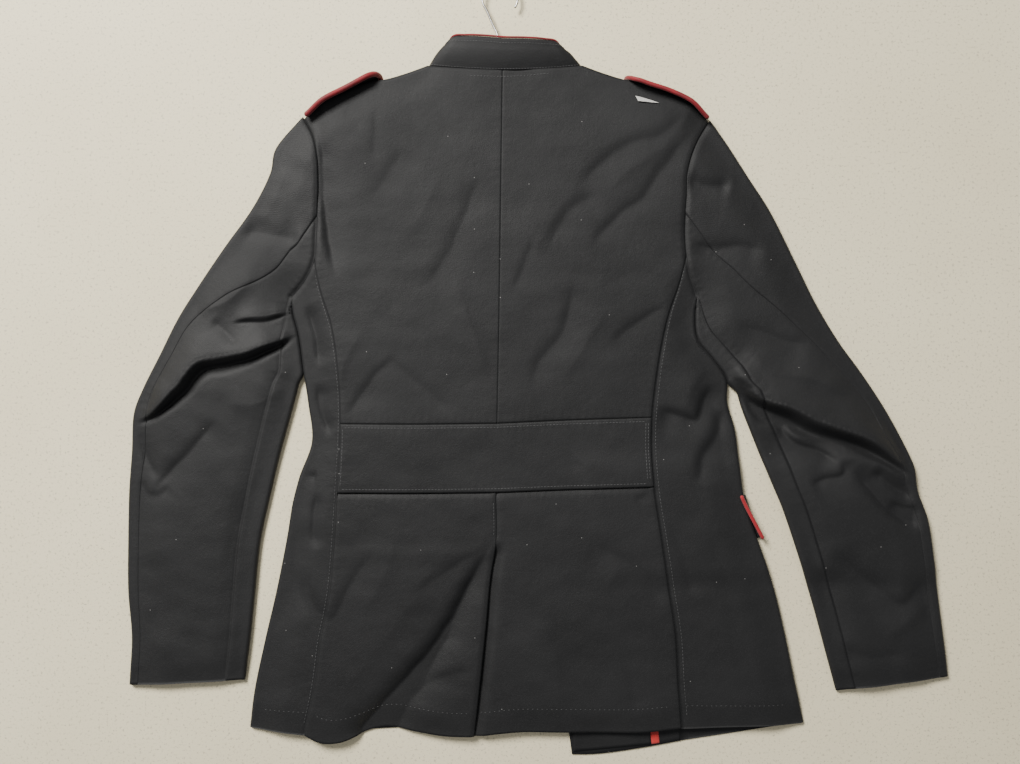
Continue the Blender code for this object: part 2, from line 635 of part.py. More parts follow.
def make_sides(seams):
    half = SEAM_GAP / 2
    for side in ("left", "right"):
        out = 1.0 if side == "left" else -1.0
        line, way = (values.copy() for values in body_folds[side])
        princess = seams[side] - side_way(seams[side]) * half * out
        top = armholes[side][PRINCESS:] + side_way(armholes[side])[PRINCESS:] * half * out
        line[0] = top[-1]
        count = len(top) - 1
        fade = np.clip(1 - np.arange(len(line)) / 3, 0, 1)[:, None]
        upper = []
        for j in range(count + 1):
            share = j / count
            bow = top[j] - (princess[0] * (1 - share) + line[0] * share)
            upper.append(princess * (1 - share) + line * share + bow * fade)
        foot = seam_foot(princess, side)
        lower_share = [(k - PRINCESS) / count for k in LOWER_COLUMNS if k >= PRINCESS][::-1]
        lower = []
        for share in lower_share:
            base = top[int(round(share * count))]
            bow = base - (foot[0] * (1 - share) + line[0] * share)
            lower.append(foot * (1 - share) + line * share + bow * fade)
        rolled("side_" + side, upper, line, way, lower)


def seam_foot(princess, side):
    # the lower layer's seam follows the upper one, and hangs lower at the right front
    foot = princess.copy()
    if side == "right":
        share = np.clip((np.arange(len(foot)) - BACK_ROWS - BELT_ROWS) / SKIRT_ROWS, 0, 1)
        foot[:, 1] -= FRONT_DROP * share**2
    return foot


def make_fronts(seams):
    half = SEAM_GAP / 2
    for side in ("left", "right"):
        princess = seam_foot(seams[side], side)
        outside = np.vstack([armholes[side][[k for k in LOWER_COLUMNS if k <= PRINCESS]], princess[1:]])
        edge = even(FRONT_EDGE[side], len(outside) - 1)
        neck = front_neck(side, NECK_STEPS // 2)
        top = np.vstack([shoulders[side][::2], neck[1:]])
        hem = even([princess[-1], *FRONT_HEM[side][::-1], FRONT_EDGE[side][-1]], len(top) - 1)
        if side == "left":
            plan = patch(top, hem, outside, edge, (0, 0, half, 0))
            plan[0, SHOULDER_STEPS // 2:, 1] -= half
        else:
            plan = patch(top[::-1], hem[::-1], edge, outside, (0, 0, 0, half))
            plan[0, :NECK_STEPS // 2 + 1, 1] -= half
        sheet("front_" + side, plan, front_height(plan), way=1.0)


def make_facing():
    # the facing lies on the right front, and shows where the front slides out below the back
    a, b, c, d = (np.array(corner, float) for corner in FACING_CORNERS)
    plan = np.array([[a, b], [c, d]])
    sheet("facing_right", plan, np.full((2, 2), CLOTH + SEAM_GAP), way=1.0, thickness=FACING_CLOTH)
    run = (d - b) / np.linalg.norm(d - b)
    beside = np.array([-run[1], run[0]])
    near, far = beside * SEAM_GAP, beside * (SEAM_GAP + BINDING_WIDTH)
    plan = np.array([[b + near, b + far], [d + near, d + far]])
    sheet("facing_binding", plan, np.full((2, 2), CLOTH + SEAM_GAP), way=1.0,
          thickness=BINDING_CLOTH, kind="piping")


# Sleeves

def make_sleeves():
    half = SEAM_GAP / 2
    for side in ("left", "right"):
        out = -1.0 if side == "left" else 1.0
        sleeve = sleeves[side]
        armhole = armholes[side] + side_way(armholes[side]) * half * out
        outer, inner = sleeve["outer"].copy(), sleeve["inner"].copy()
        outer[0], inner[0] = armhole[0], armhole[-1]
        rows = sleeve["rows"]
        elbow = sleeve["elbow"][:, None]
        inseam = np.interp(rows, [0, 6], [ARMHOLE_INSEAM, INSEAM])[:, None]
        fade = (np.clip(1 - rows / 5, 0, 1) ** 2)[:, None]

        def column(share, start):
            bow = start - (outer[0] * (1 - share[0]) + inner[0] * share[0])
            return outer * (1 - share) + inner * share + bow * fade

        def upper_column(j):
            if j <= TOP_COLUMNS:
                share = elbow * j / TOP_COLUMNS
            elif j <= TOP_COLUMNS + UNDER_COLUMNS:
                share = elbow + (inseam - elbow) * (j - TOP_COLUMNS) / UNDER_COLUMNS
            else:
                share = np.ones_like(elbow)
            return column(share, armhole[j])

        last = len(armhole) - 1
        lower = [column(np.full_like(elbow, k / last), armhole[k]) for k in LOWER_COLUMNS]
        upper = [upper_column(j) for j in range(last + 1)]
        elbow_seam, inseam_seam = upper[TOP_COLUMNS], upper[TOP_COLUMNS + UNDER_COLUMNS]
        toward_inner = -out
        top = [*upper[TOP_COLUMNS - 1::-1]]
        top.insert(0, elbow_seam - side_way(elbow_seam) * half * toward_inner)
        strip = [upper[last], inseam_seam + side_way(inseam_seam) * half * toward_inner]
        rolled("sleeve_top_" + side, top, outer, sleeve["outer_way"], lower,
               inner, sleeve["inner_way"], strip)
        under = upper[TOP_COLUMNS:TOP_COLUMNS + UNDER_COLUMNS + 1]
        under[0] = elbow_seam + side_way(elbow_seam) * half * toward_inner
        under[-1] = inseam_seam - side_way(inseam_seam) * half * toward_inner
        plan = np.stack(under, 1)
        sheet("sleeve_under_" + side, plan, upper_height(plan))


# Collar and straps

def make_collar():
    # stations from the left centre front round the back to the right centre front
    table = np.array(COLLAR, float)
    left = table[:0:-1] * [-1, 1, 1, -1, 1, 1]
    ring = np.vstack([left, table])
    ring[[0, -1], 0] = [FRONT_EDGE[side][0][0] - NECK_X for side in ("left", "right")]
    base, top = ring[:, :3] + (NECK_X, 0, 0), ring[:, 3:] + (NECK_X, 0, 0)
    shares = np.array([0.0, 0.33, 0.67, 1.0])[:, None, None]
    wall = base * (1 - shares) + top * shares
    wall += square_ways(wall) * COLLAR_BULGE * np.sin(math.pi * shares)
    wall[..., 2] = np.maximum(wall[..., 2], 0.0)
    inward = -square_ways(wall)
    cloth("collar", wall, inward, thickness=COLLAR_CLOTH)
    rise = np.cross(np.gradient(wall[-1], axis=0), inward[-1])
    rise /= np.linalg.norm(rise, axis=1)[:, None]
    path = wall[-1] + inward[-1] * COLLAR_CLOTH / 2 + rise * (3 * SEAM_GAP + COLLAR_PIPING_RADIUS)
    path = even(path[1:-1], 28)
    path[:, 2] = np.maximum(path[:, 2], COLLAR_PIPING_RADIUS)
    tube("collar_piping", path, COLLAR_PIPING_RADIUS, "piping")


def strap_surface(side):
    # a function from the strap's own length and width to its middle surface
    edge = even(STRAP_EDGE[side], 30)
    out = 1.0 if side == "left" else -1.0
    line = shoulders[side]
    section = np.array(STRAP_SECTION, float)
    section_run = lengths(section) * STRAP_WIDTH / lengths(section)[-1]
    run = lengths(edge)
    base_way = side_way(line) * out

    def foot(plan):
        # nearest point of the shoulder line, and the way out from it
        place = distance(plan, line)[1] * lengths(line)[-1]
        point = np.array([np.interp(place, lengths(line), line[:, k]) for k in (0, 1)])
        way = np.array([np.interp(place, lengths(line), base_way[:, k]) for k in (0, 1)])
        return point, way / np.linalg.norm(way)

    def at(length, width):
        over = max(0.0, length - run[-1])
        rim = np.array([np.interp(length, run, edge[:, k]) for k in (0, 1)])
        ahead = edge[-1] - edge[-4]
        rim = rim + ahead / np.linalg.norm(ahead) * over
        point, way = foot(rim)
        beyond = max(0.0, width - STRAP_WIDTH)
        out_by = np.interp(width, section_run, section[:, 0])
        z = np.interp(width, section_run, section[:, 1])
        rise = np.clip((z - CREASE_TOP) / (STRAP_TOP - CREASE_TOP), 0, 1)
        lean = (rim - (point + way * section[-1, 0])) * rise
        return np.array([*(point + way * out_by + lean), z + beyond])

    return at, run[-1]


def make_straps():
    round_radius = STRAP_WIDTH / 2
    for side in ("left", "right"):
        at, length = strap_surface(side)
        straight = length - round_radius * 0.4
        stations = [(place, 0.0, STRAP_WIDTH) for place in np.linspace(0, straight, 7)]
        for angle in np.radians((30, 52, 70)):
            middle, spread = STRAP_WIDTH / 2, round_radius * math.cos(angle)
            place = straight + round_radius * math.sin(angle) * STRAP_ROUND
            stations.append((place, middle - spread, middle + spread))
        widths = np.linspace(0, 1, 8)
        middle = np.array([[at(place, low + (high - low) * share) for share in widths]
                           for place, low, high in stations])
        along, across = np.gradient(middle, axis=0), np.gradient(middle, axis=1)
        square = np.cross(along, across)
        square /= np.linalg.norm(square, axis=2)[..., None]
        cloth("strap_" + side, middle - square * CLOTH / 2, square)
        reach = SEAM_GAP + PIPING_RADIUS
        path = [at(place, STRAP_WIDTH + reach) for place in np.linspace(0, straight, 9)]
        for angle in np.radians(np.arange(15, 91, 15)):
            place = straight + round_radius * math.sin(angle) * STRAP_ROUND + reach * math.sin(angle)
            path.append(at(place, STRAP_WIDTH / 2 + (round_radius + reach) * math.cos(angle)))
        tube("strap_piping_" + side, even(path, 16), PIPING_RADIUS, "piping")


def make_label():
    a, b, c, d = (np.array(corner, float) for corner in LABEL_CORNERS)
    plan = np.array([[a + (b - a) * t for t in (0, 0.5, 1)], [c + (d - c) * t for t in (0, 0.5, 1)]])
    sheet("label", plan, upper_height(plan) + LABEL_GAP + LABEL_CLOTH, thickness=LABEL_CLOTH, kind="label")


# Pocket flap

def make_flap():
    line, way = body_folds["right"]
    places = np.linspace(FLAP_TOP_Y, FLAP_FOOT_Y, 6)
    plan = np.column_stack([np.interp(-places, -line[:, 1], line[:, 0]), places])
    facing = np.column_stack([np.interp(-places, -line[:, 1], way[:, k]) for k in (0, 1)])
    centre = FOLD_RADIUS + FLAP_CLOTH + SEAM_GAP
    outer, inward = [], []
    for reach in FLAP_REACHES:
        outer.append(np.column_stack([plan - (reach, 0.0), np.zeros(len(plan))]))
        inward.append(np.tile((0.0, 0.0, 1.0), (len(plan), 1)))
    for angle in np.radians(np.linspace(-90, FLAP_ANGLE, FLAP_TURNS)):
        rim = plan + facing * centre * math.cos(angle)
        outer.append(np.column_stack([rim, np.full(len(plan), centre + centre * math.sin(angle))]))
        inward.append(np.column_stack([-facing * math.cos(angle), np.full(len(plan), -math.sin(angle))]))
    cloth("flap_right", np.stack(outer, 1), np.stack(inward, 1), thickness=FLAP_CLOTH)
    angle = math.radians(FLAP_ANGLE) + (SEAM_GAP + PIPING_RADIUS) / centre
    radius = FOLD_RADIUS + SEAM_GAP + PIPING_RADIUS
    path = np.column_stack([plan + facing * radius * math.cos(angle),
                            np.full(len(plan), centre + radius * math.sin(angle))])
    tube("flap_piping", path, PIPING_RADIUS, "piping")


# Hanger

def make_hanger():
    angles = np.radians(np.linspace(215, -32, 17))
    loop = [(HOOK_RADIUS * math.cos(a), HOOK_Y + HOOK_RADIUS * math.sin(a), HOOK_HEIGHT) for a in angles]
    tube("hanger_hook", even(HANGER_SHANK + loop, 28), WIRE_RADIUS, "wire")
    bar = [(x, y, HANGER_HEIGHT) for x, y in HANGER_BAR]
    corners = HANGER_ARMS["left"] + bar + HANGER_ARMS["right"]
    tube("hanger_frame", even(corners + corners[:1], 36)[:-1], WIRE_RADIUS, "wire", cyclic=True)


def main():
    for obj in list(bpy.data.objects):
        bpy.data.objects.remove(obj, do_unlink=True)
    bpy.context.scene.collection.children.link(bpy.data.collections.new(COLLECTION))
    seams = princess_seams()
    stretches = [(CENTRE_BELT_TOP, PRINCESS + BACK_ROWS), (CENTRE_BELT_FOOT, BELT_ROWS),
                 (len(CENTRE_SEAM) - 1, SKIRT_ROWS)]
    centre = trace(CENTRE_SEAM, stretches)
    belt_foot = make_back(seams, centre)
    make_skirts(seams, centre, belt_foot)
    make_sides(seams)
    make_fronts(seams)
    make_facing()
    make_sleeves()
    make_collar()
    make_straps()
    make_label()
    make_flap()
    make_hanger()


main()
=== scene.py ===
# A near-black uniform jacket, laid flat on its front and seen from the back.
# Tables are in millimetres, as they lie on the floor. Photo right is +X, the collar end is +Y.

import math

import bpy
import numpy as np
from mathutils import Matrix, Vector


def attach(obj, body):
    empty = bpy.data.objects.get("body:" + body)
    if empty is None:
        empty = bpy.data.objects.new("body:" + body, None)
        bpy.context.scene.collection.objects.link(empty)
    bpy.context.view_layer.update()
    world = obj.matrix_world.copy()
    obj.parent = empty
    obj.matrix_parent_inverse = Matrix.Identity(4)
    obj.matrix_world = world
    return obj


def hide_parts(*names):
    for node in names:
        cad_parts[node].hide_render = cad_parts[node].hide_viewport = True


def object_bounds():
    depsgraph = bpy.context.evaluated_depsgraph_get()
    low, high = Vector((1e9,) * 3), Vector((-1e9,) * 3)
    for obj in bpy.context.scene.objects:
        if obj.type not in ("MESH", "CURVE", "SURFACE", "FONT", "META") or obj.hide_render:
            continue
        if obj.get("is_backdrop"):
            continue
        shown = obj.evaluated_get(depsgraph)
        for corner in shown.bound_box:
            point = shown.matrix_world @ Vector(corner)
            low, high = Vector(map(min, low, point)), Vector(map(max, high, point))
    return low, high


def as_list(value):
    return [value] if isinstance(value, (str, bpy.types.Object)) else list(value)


mm = 0.001
bothSides = ("left", "right")

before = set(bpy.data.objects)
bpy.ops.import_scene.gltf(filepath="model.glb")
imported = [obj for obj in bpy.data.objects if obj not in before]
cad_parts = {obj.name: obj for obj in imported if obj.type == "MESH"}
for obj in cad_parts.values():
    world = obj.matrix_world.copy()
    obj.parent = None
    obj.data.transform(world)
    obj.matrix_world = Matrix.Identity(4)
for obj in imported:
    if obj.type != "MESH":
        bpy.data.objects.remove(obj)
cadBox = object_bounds()
print("frame loaded with", len(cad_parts), "pieces")

# camera straight above the jacket, as wide as the photo's frame
viewFrom = {"middle": (11.0, 63.8), "height": 1000.0, "width": 1122.0, "sensor": 36.0}

cameraData = bpy.data.cameras.new("topView")
cameraData.sensor_fit = "HORIZONTAL"
cameraData.sensor_width = viewFrom["sensor"]
cameraData.lens = viewFrom["sensor"] * viewFrom["height"] / viewFrom["width"]
camera = bpy.data.objects.new("topView", cameraData)
camera.location = (viewFrom["middle"][0] * mm, viewFrom["middle"][1] * mm, viewFrom["height"] * mm)
bpy.context.scene.collection.objects.link(camera)
bpy.context.scene.camera = camera


# curves and surfaces

def spline(points, knots, places):
    # smooth curve through the points, whose knots say where each point lies
    points = np.asarray(points, float)
    slopes = np.gradient(points, knots, axis=0, edge_order=1)
    i = np.clip(np.searchsorted(knots, places, side="right") - 1, 0, len(knots) - 2)
    span = (knots[i + 1] - knots[i])[:, None]
    t = (places - knots[i])[:, None] / span
    return ((2 * t**3 - 3 * t**2 + 1) * points[i] + (t**3 - 2 * t**2 + t) * span * slopes[i]
            + (3 * t**2 - 2 * t**3) * points[i + 1] + (t**3 - t**2) * span * slopes[i + 1])


def runOf(points):
    return np.concatenate([[0.0], np.cumsum(np.linalg.norm(np.diff(points, axis=0), axis=1))])


def trace(points, stretches):
    # evenly spaced points on a smooth curve, in stretches of (last knot, number of steps)
    points = np.asarray(points, float)
    knots = runOf(points)
    places = np.linspace(0, knots[-1], 3000)
    dense = spline(points, knots, places)
    run = runOf(dense)
    knotRun = np.interp(knots, places, run)
    stops = [0.0]
    for last, steps in stretches:
        stops += list(np.linspace(stops[-1], knotRun[last], steps + 1)[1:])
    return np.column_stack([np.interp(stops, run, dense[:, k]) for k in range(dense.shape[1])])


def even(points, steps):
    return trace(points, [(len(points) - 1, steps)])


def atRun(points, places):
    # points of a polyline at the given distances along it
    run = runOf(points)
    return np.column_stack([np.interp(places, run, points[:, k]) for k in range(points.shape[1])])


def sideWay(curve):
    # unit vectors square to a plan curve: +X beside one that runs down, +Y beside one that runs right
    run = np.gradient(curve, axis=0)
    way = np.column_stack([-run[:, 1], run[:, 0]])
    return way / np.linalg.norm(way, axis=1)[:, None]


def ease(t):
    t = np.clip(t, 0.0, 1.0)
    return t * t * (3 - 2 * t)


def nearest(plan, line):
    # distance from each plan point to a line, with its sign positive on the line's left, and the
    # share of the line's length where the nearest point lies
    plan, line = np.asarray(plan, float), np.asarray(line, float)
    start, step = line[:-1], np.diff(line, axis=0)
    run = runOf(line)
    gap = plan[..., None, :] - start
    share = np.clip((gap * step).sum(-1) / (step**2).sum(-1), 0, 1)
    off = gap - share[..., None] * step
    apart = np.linalg.norm(off, axis=-1)
    best = apart.argmin(-1)
    pick = best[..., None]
    share = np.take_along_axis(share, pick, -1)[..., 0]
    turn = step[best][..., 0] * np.take_along_axis(off[..., 1], pick, -1)[..., 0] \
        - step[best][..., 1] * np.take_along_axis(off[..., 0], pick, -1)[..., 0]
    along = (run[best] + share * (run[best + 1] - run[best])) / run[-1]
    return apart.min(-1), np.sign(turn), along


def patch(top, bottom, left, right, gaps):
    # plan points between four edges, drawn in by gaps (top, bottom, left, right)
    v = np.linspace(0, 1, len(left))[:, None, None]
    u = np.linspace(0, 1, len(top))[None, :, None]
    corners = (1 - v) * ((1 - u) * top[0] + u * top[-1]) + v * ((1 - u) * bottom[0] + u * bottom[-1])
    grid = (1 - v) * top[None] + v * bottom[None] + (1 - u) * left[:, None] + u * right[:, None] - corners
    grid[0] -= sideWay(top) * gaps[0]
    grid[-1] += sideWay(bottom) * gaps[1]
    grid[:, 0] += sideWay(left) * gaps[2]
    grid[:, -1] -= sideWay(right) * gaps[3]
    return grid


def squareWays(grid):
    # unit vectors square to a surface, each the mean over the cells round its point
    cells = np.cross(grid[1:, 1:] - grid[:-1, :-1], grid[1:, :-1] - grid[:-1, 1:])
    cells /= np.maximum(np.linalg.norm(cells, axis=2), 1e-9)[..., None]
    total = np.zeros_like(grid)
    for rows in (slice(0, -1), slice(1, None)):
        for columns in (slice(0, -1), slice(1, None)):
            total[rows, columns] += cells
    return total / np.maximum(np.linalg.norm(total, axis=2), 1e-9)[..., None]


def ripple(plan, size, seed):
    # soft random waves between -1 and 1, with crests about this size apart
    dice = np.random.default_rng(seed)
    plan = np.asarray(plan, float)
    total = np.zeros(plan.shape[:-1])
    for _ in range(7):
        angle, phase = dice.uniform(0, 2 * math.pi, 2)
        reach = size * dice.uniform(0.7, 1.6)
        across = plan[..., 0] * math.cos(angle) + plan[..., 1] * math.sin(angle)
        beside = plan[..., 1] * math.cos(angle) - plan[..., 0] * math.sin(angle)
        bend = 0.9 * np.sin(beside / reach * 2.3 + phase * 3)
        total += np.sin(across / reach * 2 * math.pi + bend + phase)
    return total / 4


# the jacket's layout on the floor

cut = {"wall": 1.3, "frontWall": 1.7, "seamGap": 0.04, "rimOut": 0.01, "foldRadius": 4.0, "belt": 0.7,
       "underlap": 34.0, "frontDrop": 16.0}
steps = {"elbow": 30, "princess": 40, "inseam": 30, "underarm": 8, "sleeve": 250, "fold": 8, "hidden": 3,
         "shoulder": 62, "neck": 50, "back": 90, "belt": 38, "skirt": 112}
elbowAt = steps["elbow"]
princessAt = elbowAt + steps["princess"]
inseamAt = princessAt + steps["inseam"]
armholeShares = {"elbow": 0.535, "princess": 0.772, "inseam": 0.95}

neck = {"x": 5.5, "y": 407.3, "half": 84.0, "backDrop": 4.6, "frontDrop": 66.0}

# armholes from shoulder point to underarm (x, y)
armholeTable = {
    "left": [(-214, 351), (-204, 332), (-199, 310), (-198, 284), (-199, 249), (-200, 225),
             (-203, 194), (-212, 176), (-223, 163), (-228, 158)],
    "right": [(228, 347), (215, 325), (208, 308), (204, 291), (203, 266), (201, 232),
              (203, 200), (207, 180), (213, 165), (215, 158)],
}
# back seams from the armhole to the hem (x, y)
princessTable = {
    "left": [(-196, 165), (-184, 127), (-177, 83), (-174, 18), (-177, -57), (-181, -125),
             (-185, -168), (-194, -213), (-201, -266), (-213, -321)],
    "right": [(194, 167), (185, 142), (170, 70), (165, 25), (167, -50), (174, -98),
              (183, -159), (191, -213), (194, -270), (198, -314)],
}
beltTopKnot, beltFootKnot = 4, 5
# outlines of the body's sides, underarm to hem (x, y)
bodyEdgeTable = {
    "left": [(-227, 140), (-222, 121), (-214.5, 70), (-210, 40), (-206, -1), (-220, -41),
             (-227, -68), (-232, -99), (-244, -161), (-258, -222), (-269, -275), (-274, -314)],
    "right": [(214, 140), (217, 110), (234, 88), (248, 67), (249, 42), (257, 13), (262, -25),
              (267, -62), (278, -98), (286, -120), (298, -155), (312, -212), (322, -260), (333, -309)],
}
# sleeve stations from armhole to cuff: outer x, y, inner x, y, and how far across the elbow seam lies
sleeveTable = {
    "left": [
        (-245, 320, -229.5, 149, 0.60), (-252, 291, -229.0, 144, 0.58), (-271, 254, -228.7, 136, 0.55),
        (-301, 212, -226.7, 125, 0.43), (-328, 172, -224.7, 112, 0.23), (-352, 134, -221.5, 94, 0.09),
        (-372, 94, -218.5, 73, 0.06), (-391, 56, -222, 53, 0.05), (-401, 28, -230, 23, 0.07),
        (-403, -13, -241, -17, 0.07), (-406, -57, -251, -59, 0.06), (-407, -109, -262, -110, 0.06),
        (-407, -164, -268, -166, 0.06), (-403, -216, -273, -215, 0.05), (-406, -267, -279, -262, 0.05),
    ],
    "right": [
        (250, 322, 216.5, 145, 0.55), (271, 289, 217.5, 134, 0.54), (296, 250, 220.5, 119, 0.48),
        (319, 204, 228.5, 102.5, 0.40), (345, 151, 239, 90, 0.27), (370, 109, 249.5, 77, 0.17),
        (394, 76, 258, 56, 0.12), (416, 43, 265.5, 32, 0.08), (435, 10, 276, 5, 0.09),
        (452, -26, 288, -25, 0.06), (457, -56, 298, -49, 0.05), (468, -87, 310, -78, 0.05),
        (475, -134, 327, -129, 0.05), (481, -182, 343, -182, 0.05), (487, -228, 357, -234, 0.05),
        (491, -258, 368, -274, 0.05),
    ],
}
# where the inseam lies below the armhole, and how far down the sleeve touches the body
inseamShare = 0.86
contactFoot = {"left": 62.0, "right": 52.0}
bodyContact = {"pressed": 0.6, "fade": 14}
# rows over which a seam or fold line takes up its start at the armhole
fadeRows = {"bodyFold": 5, "sleeveFold": 8, "sleeve": 5, "inseam": 6, "side": 16}
shoulderTable = {
    "left": [(-214, 351), (-200, 364), (-168, 379.5), (-138, 390.5), (-124, 392.5), (-103, 398.5)],
    "right": [(228, 347), (209, 366), (176, 380.5), (148, 390), (136, 392), (114, 398.5)],
}
centreTable = [(3, 402), (1, 262), (-1, 120), (-3, 18.5), (-4, -56), (-4, -110),
               (-10, -147), (-15, -200), (-22, -267), (-28, -323)]
centreBeltTop, centreBeltFoot = 3, 4
ventTop = -110.0
beltTopTable = {"left": [(-84, 17.5)], "right": [(74, 22)]}
beltFootTable = {"left": [(-84, -57)], "right": [(74, -53)]}
hemTable = {
    "left": [(-196, -329), (-175, -329), (-159, -324), (-138, -316), (-125, -314), (-92, -318), (-63, -322)],
    "right": [(15, -318), (74, -318), (154, -318)],
}
frontEdgeTable = {
    "left": [(3.5, 340), (22, 120), (36, -60), (45, -312)],
    "right": [(7.5, 340), (30, 150), (52, -60), (70, -240), (76, -322), (79, -345)],
}
frontHemTable = {"left": [(-84, -314)], "right": [(96, -345), (154, -338)]}


def armholePoints(side):
    shares = np.concatenate([
        np.linspace(0, armholeShares["elbow"], elbowAt + 1),
        np.linspace(armholeShares["elbow"], armholeShares["princess"], steps["princess"] + 1)[1:],
        np.linspace(armholeShares["princess"], armholeShares["inseam"], steps["inseam"] + 1)[1:],
        np.linspace(armholeShares["inseam"], 1.0, steps["underarm"] + 1)[1:]])
    dense = even(armholeTable[side], 1500)
    return atRun(dense, shares * runOf(dense)[-1])


def foldLine(edge, inward):
    # centre line of the round fold whose outline is the edge, and the way it faces
    way = sideWay(edge) * inward
    return edge + way * cut["foldRadius"], -way


def bodyFold(side):
    inward = 1.0 if side == "left" else -1.0
    count = steps["back"] + steps["belt"] + steps["skirt"]
    underarm = armholes[side][-1]
    edge = even([underarm + (0.0, -cut["foldRadius"])] + bodyEdgeTable[side], count)
    line, way = foldLine(edge, inward)
    fade = np.clip(1 - np.arange(count + 1) / fadeRows["bodyFold"], 0, 1)[:, None]
    line += (underarm - line[0]) * fade
    way = way * (1 - fade) + np.array([0.0, -1.0]) * fade
    return line, way / np.linalg.norm(way, axis=1)[:, None]


def leanOnBody(line, side):
    # the sleeve's inner edge lies against the body's edge down to where the gap opens
    fold, way = bodyFolds[side]
    beside = fold + way * (2 * cut["foldRadius"] - bodyContact["pressed"])
    x = np.interp(-line[:, 1], -beside[:, 1], beside[:, 0])
    close = ease((line[:, 1] - contactFoot[side]) / bodyContact["fade"])
    return np.column_stack([line[:, 0] * (1 - close) + x * close, line[:, 1]])


def sleeveFolds(side):
    # outer and inner fold lines with the ways they face, and the elbow seam's share, row by row
    table = np.array(sleeveTable[side], float)
    armhole = armholes[side]
    inward = 1.0 if side == "left" else -1.0
    startWay = armhole[0] - armhole[1]
    startWay /= np.linalg.norm(startWay)
    start = np.concatenate([armhole[0] + startWay * cut["foldRadius"], table[0, 2:4],
                            [armholeShares["elbow"]]])
    table = np.vstack([start, table])
    rows = np.linspace(0, len(table) - 1, steps["sleeve"] + 1)
    knots = np.arange(len(table), dtype=float)
    values = spline(table, knots, rows)
    outer, outerWay = foldLine(values[:, 0:2], inward)
    fade = np.clip(1 - np.arange(len(outer)) / fadeRows["sleeveFold"], 0, 1)[:, None]
    outer += (armhole[0] - outer[0]) * fade
    outerWay = outerWay * (1 - fade) + startWay * fade
    outerWay /= np.linalg.norm(outerWay, axis=1)[:, None]
    later = np.concatenate([[1.0], rows[rows > 1.0]])
    line, way = foldLine(spline(table[1:, 2:4], knots[1:], later), -inward)
    blend = rows[rows <= 1.0, None]
    line = leanOnBody(line, side)
    inner = np.vstack([armhole[-1] * (1 - blend) + line[0] * blend, line[1:]])
    innerWay = np.vstack([np.array([0.0, -1.0]) * (1 - blend) + way[0] * blend, way[1:]])
    innerWay /= np.linalg.norm(innerWay, axis=1)[:, None]
    return {"outer": outer, "outerWay": outerWay, "inner": inner, "innerWay": innerWay,
            "elbow": np.clip(values[:, 4], 0.045, 1.0), "rows": rows}


def backNeck(count):
    x = np.linspace(-1, 1, count + 1)
    return np.column_stack([neck["x"] + neck["half"] * x, neck["y"] - neck["backDrop"] * (1 - x**2)])


def frontNeck(side, count):
    angle = np.linspace(0, math.pi / 2, count + 1)
    out = -1.0 if side == "left" else 1.0
    x = neck["x"] + out * neck["half"] * np.cos(angle)
    x[-1] = frontEdgeTable[side][0][0]
    return np.column_stack([x, neck["y"] - neck["frontDrop"] * np.sin(angle)])


armholes = {side: armholePoints(side) for side in bothSides}
bodyFolds = {side: bodyFold(side) for side in bothSides}
sleeves = {side: sleeveFolds(side) for side in bothSides}
neckPoints = {"left": (neck["x"] - neck["half"], neck["y"]), "right": (neck["x"] + neck["half"], neck["y"])}
shoulders = {side: even(shoulderTable[side] + [neckPoints[side]], steps["shoulder"]) for side in bothSides}
princess = {side: trace([armholes[side][princessAt]] + princessTable[side],
                        [(beltTopKnot, steps["back"]), (beltFootKnot, steps["belt"]),
                         (len(princessTable[side]), steps["skirt"])])
            for side in bothSides}
centre = trace(centreTable, [(centreBeltTop, princessAt + steps["back"]), (centreBeltFoot, steps["belt"]),
                             (len(centreTable) - 1, steps["skirt"])])
beltLines = {}
for level, row, middle in (("top", steps["back"], beltTopTable),
                           ("foot", steps["back"] + steps["belt"], beltFootTable)):
    for side in bothSides:
        ends = [princess[side][row], *middle[side], centre[princessAt + row]]
        line = even(ends, steps["shoulder"] + steps["neck"])
        beltLines[level, side] = line if side == "left" else line[::-1]
print("layout traced")

# heights of the upper layer's outer face, and how it drops to the folds at the edges
heights = {"edge": 8.0, "shoulder": 13.0, "body": 12.5, "pad": 3.5, "neck": 3.6, "reach": 38.0,
           "least": 4.6, "padPlaces": ((-165, 335), (175, 335)), "spread": (74.0, 54.0), "foldFade": 14.0,
           "frontBelow": 4.4, "frontReach": 20}
# the pocket flap, and how the cloth over it rises
flap = {"wall": 1.4, "top": -61.0, "foot": -109.0, "angles": (66.0, 14.0), "out": 4.0, "front": 58.0,
        "rise": 26.0, "length": 130.0, "tuckedIn": 6.0, "lift": 1.9, "piping": 2.0, "pipingOut": 2.3}
# waves of the cloth itself (height, size, seed), and the puckers beside its seams
clothWaves = ((0.7, 75, 11), (0.22, 30, 12))
pucker = {"height": 0.07, "pitch": 8.5, "drift": 31.0, "apart": 5.0}

